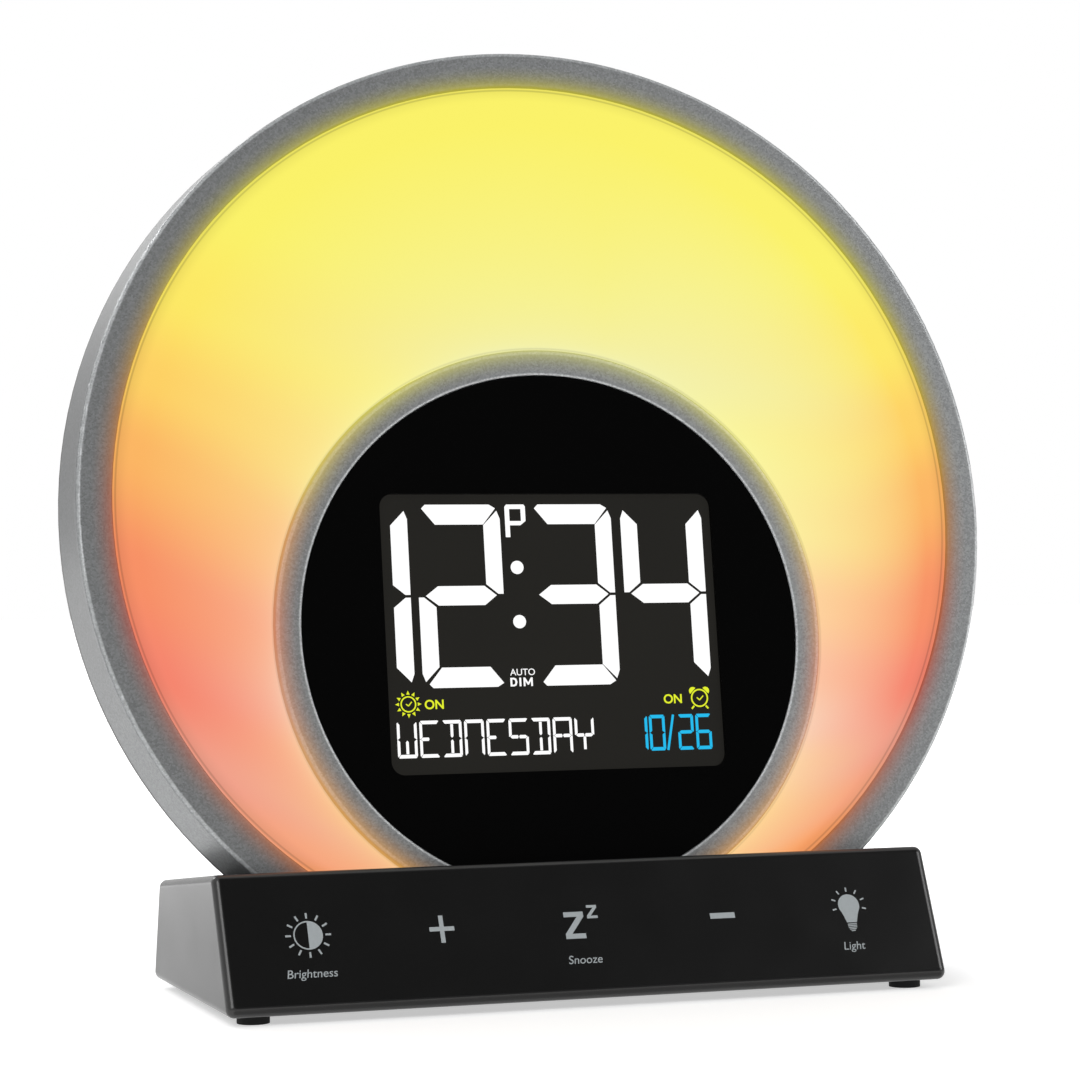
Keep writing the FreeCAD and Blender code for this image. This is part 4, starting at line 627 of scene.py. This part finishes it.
dress(grained_plastic("rubberised_key_grey", "#3A3B3D", 0.35, 0.62, 0.00003),
      "alarm_key", "sunrise_key", "clock_key", "sound_key", "volume_key", "date_key")
dress(grained_plastic("foot_rubber", "#141414", 0.4, 0.8, 0.00005), "rubber_feet", "speaker_gasket")


# Rear key signs: plain pictograms over the six push keys, pad-printed in white ink on the
# cover: alarm clock, rising sun and clock, then note, loudspeaker and calendar.

REAR_FACE_MM = 24.0
KEY_PITCH = 22.0
KEY_ROWS = (-12.0, -28.0)
SIGN_RISE = 5.6
REAR = (DISC @ Matrix.Translation((0, REAR_FACE_MM / 1000 + INK_LIFT, 0))
        @ Matrix.Rotation(math.radians(180), 4, "Z") @ Matrix.Rotation(math.radians(90), 4, "X")
        @ Matrix.Scale(0.001, 4))

bell_sign = [arc_band(0, 0, 1.05, 1.4, 0, NEARLY_ROUND, 36), bar(0, 0, 0, 0.8, 0.25), bar(0, 0, 0.6, 0, 0.25),
             bar(-1.5, 1.1, -0.8, 1.7, 0.4), bar(1.5, 1.1, 0.8, 1.7, 0.4)]
sunrise_sign = [arc_band(0, -0.8, 0.0, 1.1, 0, 180, 20), bar(-2.2, -1.1, 2.2, -1.1, 0.3)]
sunrise_sign += [ray(degrees, 1.5, 2.2, 0.3, y=-0.8) for degrees in (20, 55, 90, 125, 160)]
clock_sign = [arc_band(0, 0, 1.25, 1.6, 0, NEARLY_ROUND, 36), bar(0, -0.1, 0, 0.95, 0.28),
              bar(0, 0, 0.8, 0, 0.28)]
note_sign = [ring_points(-0.5, -1.0, 0.6, 20), bar(0, -1.0, 0, 1.5, 0.28), bar(-0.1, 1.45, 1.1, 0.9, 0.45)]
loudspeaker_sign = [[(-1.7, -0.5), (-0.9, -0.5), (0, -1.3), (0, 1.3), (-0.9, 0.5), (-1.7, 0.5)],
                    arc_band(0, 0, 0.75, 1.05, -45, 90, 12), arc_band(0, 0, 1.45, 1.75, -45, 90, 12)]
calendar_sign = [[(-1.6, -1.4), (1.6, -1.4), (1.6, 1.2), (-1.6, 1.2)],
                 [(-1.3, -1.1), (1.3, -1.1), (1.3, 0.4), (-1.3, 0.4)],
                 bar(-0.8, 1.3, -0.8, 1.8, 0.35), bar(0.8, 1.3, 0.8, 1.8, 0.35)]
key_signs = []
for key_y, row in zip(KEY_ROWS, ((bell_sign, sunrise_sign, clock_sign),
                                 (note_sign, loudspeaker_sign, calendar_sign))):
    for k, sign in enumerate(row):
        key_signs += moved(sign, KEY_PITCH * (1 - k), key_y + SIGN_RISE)
white_ink = printed_ink("pad_print_white", "#C9CBCC")
finish_piece(flat_shape("rear_key_signs", key_signs, REAR), white_ink)


# Inlet sign: the sign for direct current, a bar over three short ones, pad-printed in white
# beside the inlet on the sloping back of the base.

BASE_REAR = (Matrix.Translation((0, 0.0341, 0.0018)) @ Matrix.Rotation(REAR_SLOPE, 4, "X")
             @ Matrix.Translation((0, INK_LIFT, 0)) @ Matrix.Rotation(math.radians(180), 4, "Z")
             @ Matrix.Rotation(math.radians(90), 4, "X") @ Matrix.Scale(0.001, 4))

inlet_shapes = [bar(13.0, 9.3, 16.4, 9.3, 0.35)]
inlet_shapes += [bar(x, 8.4, x + 0.9, 8.4, 0.35) for x in (13.0, 14.25, 15.5)]
finish_piece(flat_shape("inlet_signs", inlet_shapes, BASE_REAR), white_ink)


# Battery door sign: a plus in a ring, pad-printed in white on the door, above its screw. It
# tells which side of the cell faces outwards.

DOOR_SIGN_Y = -55.0

door_shapes = moved([bar(-1.2, 0, 1.2, 0, 0.4), bar(0, -1.2, 0, 1.2, 0.4),
                     arc_band(0, 0, 2.6, 2.95, 0, NEARLY_ROUND, 40)], 0, DOOR_SIGN_Y)
finish_piece(flat_shape("door_sign", door_shapes, REAR), white_ink, "battery_door")


# Thumb ribs of the battery door: three low ribs moulded across its top end, to push it by.
# They have the door's own grain.

RIB_SIZE = (10.0, 0.8, 0.6)
RIB_TOP = -44.0
RIB_PITCH = 1.8

ribs = []
for k in range(3):
    bpy.ops.object.select_all(action="DESELECT")
    bpy.ops.mesh.primitive_cube_add(size=1)
    rib = bpy.context.object
    rib.scale = RIB_SIZE
    rib.location = (0, RIB_TOP - RIB_PITCH * k, 0.1)
    bpy.ops.object.transform_apply(location=True, rotation=False, scale=True)
    bevel = rib.modifiers.new("rounded", "BEVEL")
    bevel.width = 0.24
    bevel.segments = 3
    bpy.ops.object.modifier_apply(modifier="rounded")
    bpy.ops.object.shade_smooth()
    rib.data.transform(REAR)
    ribs.append(rib)
finish_piece(joined("door_thumb_ribs", ribs), eroded_abs, "battery_door")


# Screws and speaker frame: small cross-head screws and a pressed frame of blackened steel,
# dark grey with faint brighter streaks.


def worn_metal(name, dark, bright, roughness, streak_scale):
    """Metal with faint streaks of 0.7 to 2 mm between two tones."""
    material, tree, output = new_material(name)
    place = node(tree, "TexCoord").outputs["Object"]
    streak = node(tree, "TexNoise", None, {"Scale": streak_scale, "Detail": 4.0},
                  {"Vector": place}).outputs["Fac"]
    tone = node(tree, "Mix", {"data_type": "RGBA"}, {6: linear(dark), 7: linear(bright)},
                {0: streak}).outputs[2]
    rough = node(tree, "MapRange", None, {"To Min": roughness - 0.08, "To Max": roughness + 0.08},
                 {"Value": streak}).outputs["Result"]
    shader = node(tree, "BsdfPrincipled", None, {"Metallic": 1.0}, {"Base Color": tone, "Roughness": rough})
    tree.links.new(shader.outputs["BSDF"], output.inputs["Surface"])
    return material


dress(worn_metal("blackened_steel", "#3A3A3C", "#6A6A6C", 0.4, 900.0), "rear_cover_screws",
      "battery_door_screw", "base_screws", "stand_screws", "main_board_screws", "led_board_screws",
      "key_board_screws", "power_board_screws", "speaker_frame")


# Inlet, port, cell and other metals: bright and slightly warm nickel plating, yellow gilt
# contacts, pale aluminium cans and a dull dark ferrite magnet. The port's tongue, the tray,
# the sockets and the ribbon are of uncoloured white plastic.

dress(worn_metal("nickel_plated_steel", "#B9B7B2", "#D6D4CF", 0.25, 1200.0), "usb_port_shell",
      "dc_jack_pin", "lcd_pins", "clock_crystal", "coin_cell")
dress(worn_metal("gilt_contact", "#C9A24A", "#E3C679", 0.3, 1500.0), "usb_port_contacts", "dc_jack_spring",
      "cell_contacts", "touch_pads")
dress(worn_metal("aluminium_can", "#C4C6C9", "#DEDFE1", 0.3, 1000.0), "capacitors")
dress(worn_metal("ferrite_magnet", "#2C2C2E", "#3C3C3F", 0.6, 500.0), "speaker_magnet")
dress(grained_plastic("natural_white_abs", "#E4E3DC", 0.6, 0.5, 0.00003), "usb_port_tongue",
      "reflector_tray", "board_sockets", "base_ribbon")


# Boards and what they carry: glass-epoxy boards under satin green or white lacquer, matt
# black chips and switches, a dull pressed-paper cone, red leads and warm lit lamps.

dress(grained_plastic("green_lacquered_board", "#1E6A3C", 1.2, 0.35, 0.00002), "main_board", "key_board",
      "touch_board", "power_board")
dress(grained_plastic("white_lacquered_board", "#E8E8E2", 1.2, 0.4, 0.00002), "led_board")
dress(grained_plastic("moulded_chip_black", "#161617", 0.3, 0.6, 0.00003), "controller_chip", "tact_switches")
dress(grained_plastic("pressed_paper_cone", "#242424", 0.8, 0.85, 0.00008), "speaker_cone")
dress(grained_plastic("red_lead_sheath", "#8E1512", 0.5, 0.5, 0.00002), "speaker_leads")
dress(lit_ink("lamp_resin_lit", "#FFF0B0"), "leds")


# Backlight guide and light sensor: clear moulded acrylic, smooth and half transparent, which
# spreads the backlight behind the glass and lets daylight in to the sensor.

material, tree, output = new_material("clear_moulded_acrylic")
place = node(tree, "TexCoord").outputs["Object"]
# a faint haze, uneven over some 5 mm
haze = node(tree, "TexNoise", None, {"Scale": 200.0}, {"Vector": place}).outputs["Fac"]
rough = node(tree, "MapRange", None, {"To Min": 0.05, "To Max": 0.15}, {"Value": haze}).outputs["Result"]
shader = node(tree, "BsdfPrincipled", None,
              {"Base Color": linear("#DDE3E6"), "IOR": 1.49, "Transmission Weight": 0.6},
              {"Roughness": rough})
tree.links.new(shader.outputs["BSDF"], output.inputs["Surface"])
dress(material, "backlight_guide", "light_sensor")


# Table: a plain white table top that keeps the clock's shadow and brightens away from it
# into the white of the room.

bpy.ops.object.select_all(action="DESELECT")
bpy.ops.mesh.primitive_plane_add(size=16)
table = bpy.context.object
table.name = "table"
material, tree, output = new_material("white_table")
path = node(tree, "LightPath").outputs
seen = node(tree, "Math", {"operation": "MAXIMUM"},
            links={0: path["Is Camera Ray"], 1: path["Is Glossy Ray"]}).outputs["Value"]
place = node(tree, "TexCoord").outputs["Object"]
away = node(tree, "VectorMath", {"operation": "LENGTH"}, links={0: place}).outputs["Value"]
lift = node(tree, "MapRange", {"interpolation_type": "SMOOTHSTEP"},
            {"From Min": 0.12, "From Max": 0.45, "To Min": 0.52, "To Max": 1.0},
            {"Value": away}).outputs["Result"]
level = node(tree, "Math", {"operation": "MULTIPLY"}, links={0: seen, 1: lift}).outputs["Value"]
diffuse = node(tree, "BsdfDiffuse", None, {"Color": (0.78, 0.78, 0.78, 1)}).outputs["BSDF"]
light = node(tree, "Emission", None, {"Color": (1, 1, 1, 1)}, {"Strength": level}).outputs["Emission"]
both = node(tree, "AddShader", links={0: diffuse, 1: light}).outputs["Shader"]
tree.links.new(both, output.inputs["Surface"])
table.data.materials.append(material)


# Light room: a white room that is bright behind the clock and above it and dim in front, so
# that the side walls are lit and the black front stays dark.

BRIGHT_WAY = (-0.24, 0.85, 0.36)

world = bpy.data.worlds.new("light_room")
bpy.context.scene.world = world
world.use_nodes = True
tree = world.node_tree
tree.nodes.clear()
output = node(tree, "OutputWorld")
sky = node(tree, "TexCoord").outputs["Generated"]
camera_ray = node(tree, "LightPath").outputs["Is Camera Ray"]
way = node(tree, "VectorMath", {"operation": "DOT_PRODUCT"}, {1: BRIGHT_WAY}, {0: sky}).outputs["Value"]
room = node(tree, "MapRange", {"interpolation_type": "SMOOTHSTEP"},
            {"From Min": -0.2, "From Max": 0.85, "To Min": 0.12, "To Max": 0.85},
            {"Value": way}).outputs["Result"]
level = node(tree, "Mix", {"data_type": "FLOAT"}, {3: 1.0}, {0: camera_ray, 2: room}).outputs[0]
back = node(tree, "Background", None, {"Color": (1, 1, 1, 1)}, {"Strength": level})
tree.links.new(back.outputs["Background"], output.inputs["Surface"])


# Lamps: one large soft lamp from the upper left, a weaker one from the right and one from
# behind, all aimed at the middle of the disc.

LAMP_AIM = Vector((0, 0, 0.1))

for name, spot, size, watts in (("lamp_left", (-1.2, -1.3, 1.2), 1.1, 15.0),
                                ("lamp_right", (1.5, -1.0, 0.9), 0.9, 12.0),
                                ("lamp_back", (-0.8, 1.5, 1.3), 1.0, 16.0)):
    lamp_data = bpy.data.lights.new(name, "AREA")
    lamp_data.shape = "DISK"
    lamp_data.size = size
    lamp_data.energy = watts
    lamp = bpy.data.objects.new(name, lamp_data)
    bpy.context.collection.objects.link(lamp)
    lamp.location = spot
    lamp.rotation_euler = (LAMP_AIM - Vector(spot)).to_track_quat("-Z", "Y").to_euler()


# Camera: a long lens some 0.63 m from the disc, 18 degrees to the left of its front, 84 mm
# above the table and nearly level.

camera_data = bpy.data.cameras.new("camera")
camera_data.lens = 100.24
camera_data.sensor_width = 36.0
camera = bpy.data.objects.new("camera", camera_data)
bpy.context.collection.objects.link(camera)
right = Vector((0.95130, -0.30802, -0.01129))
up = Vector((0.00613, -0.01772, 0.99982))
forward = Vector((0.30817, 0.95120, 0.01497))
camera.matrix_world = (Matrix.Translation((-0.19567, -0.60060, 0.08440))
                       @ Matrix((right, up, -forward)).transposed().to_4x4())
bpy.context.scene.camera = camera
bpy.context.scene.view_settings.view_transform = "Standard"
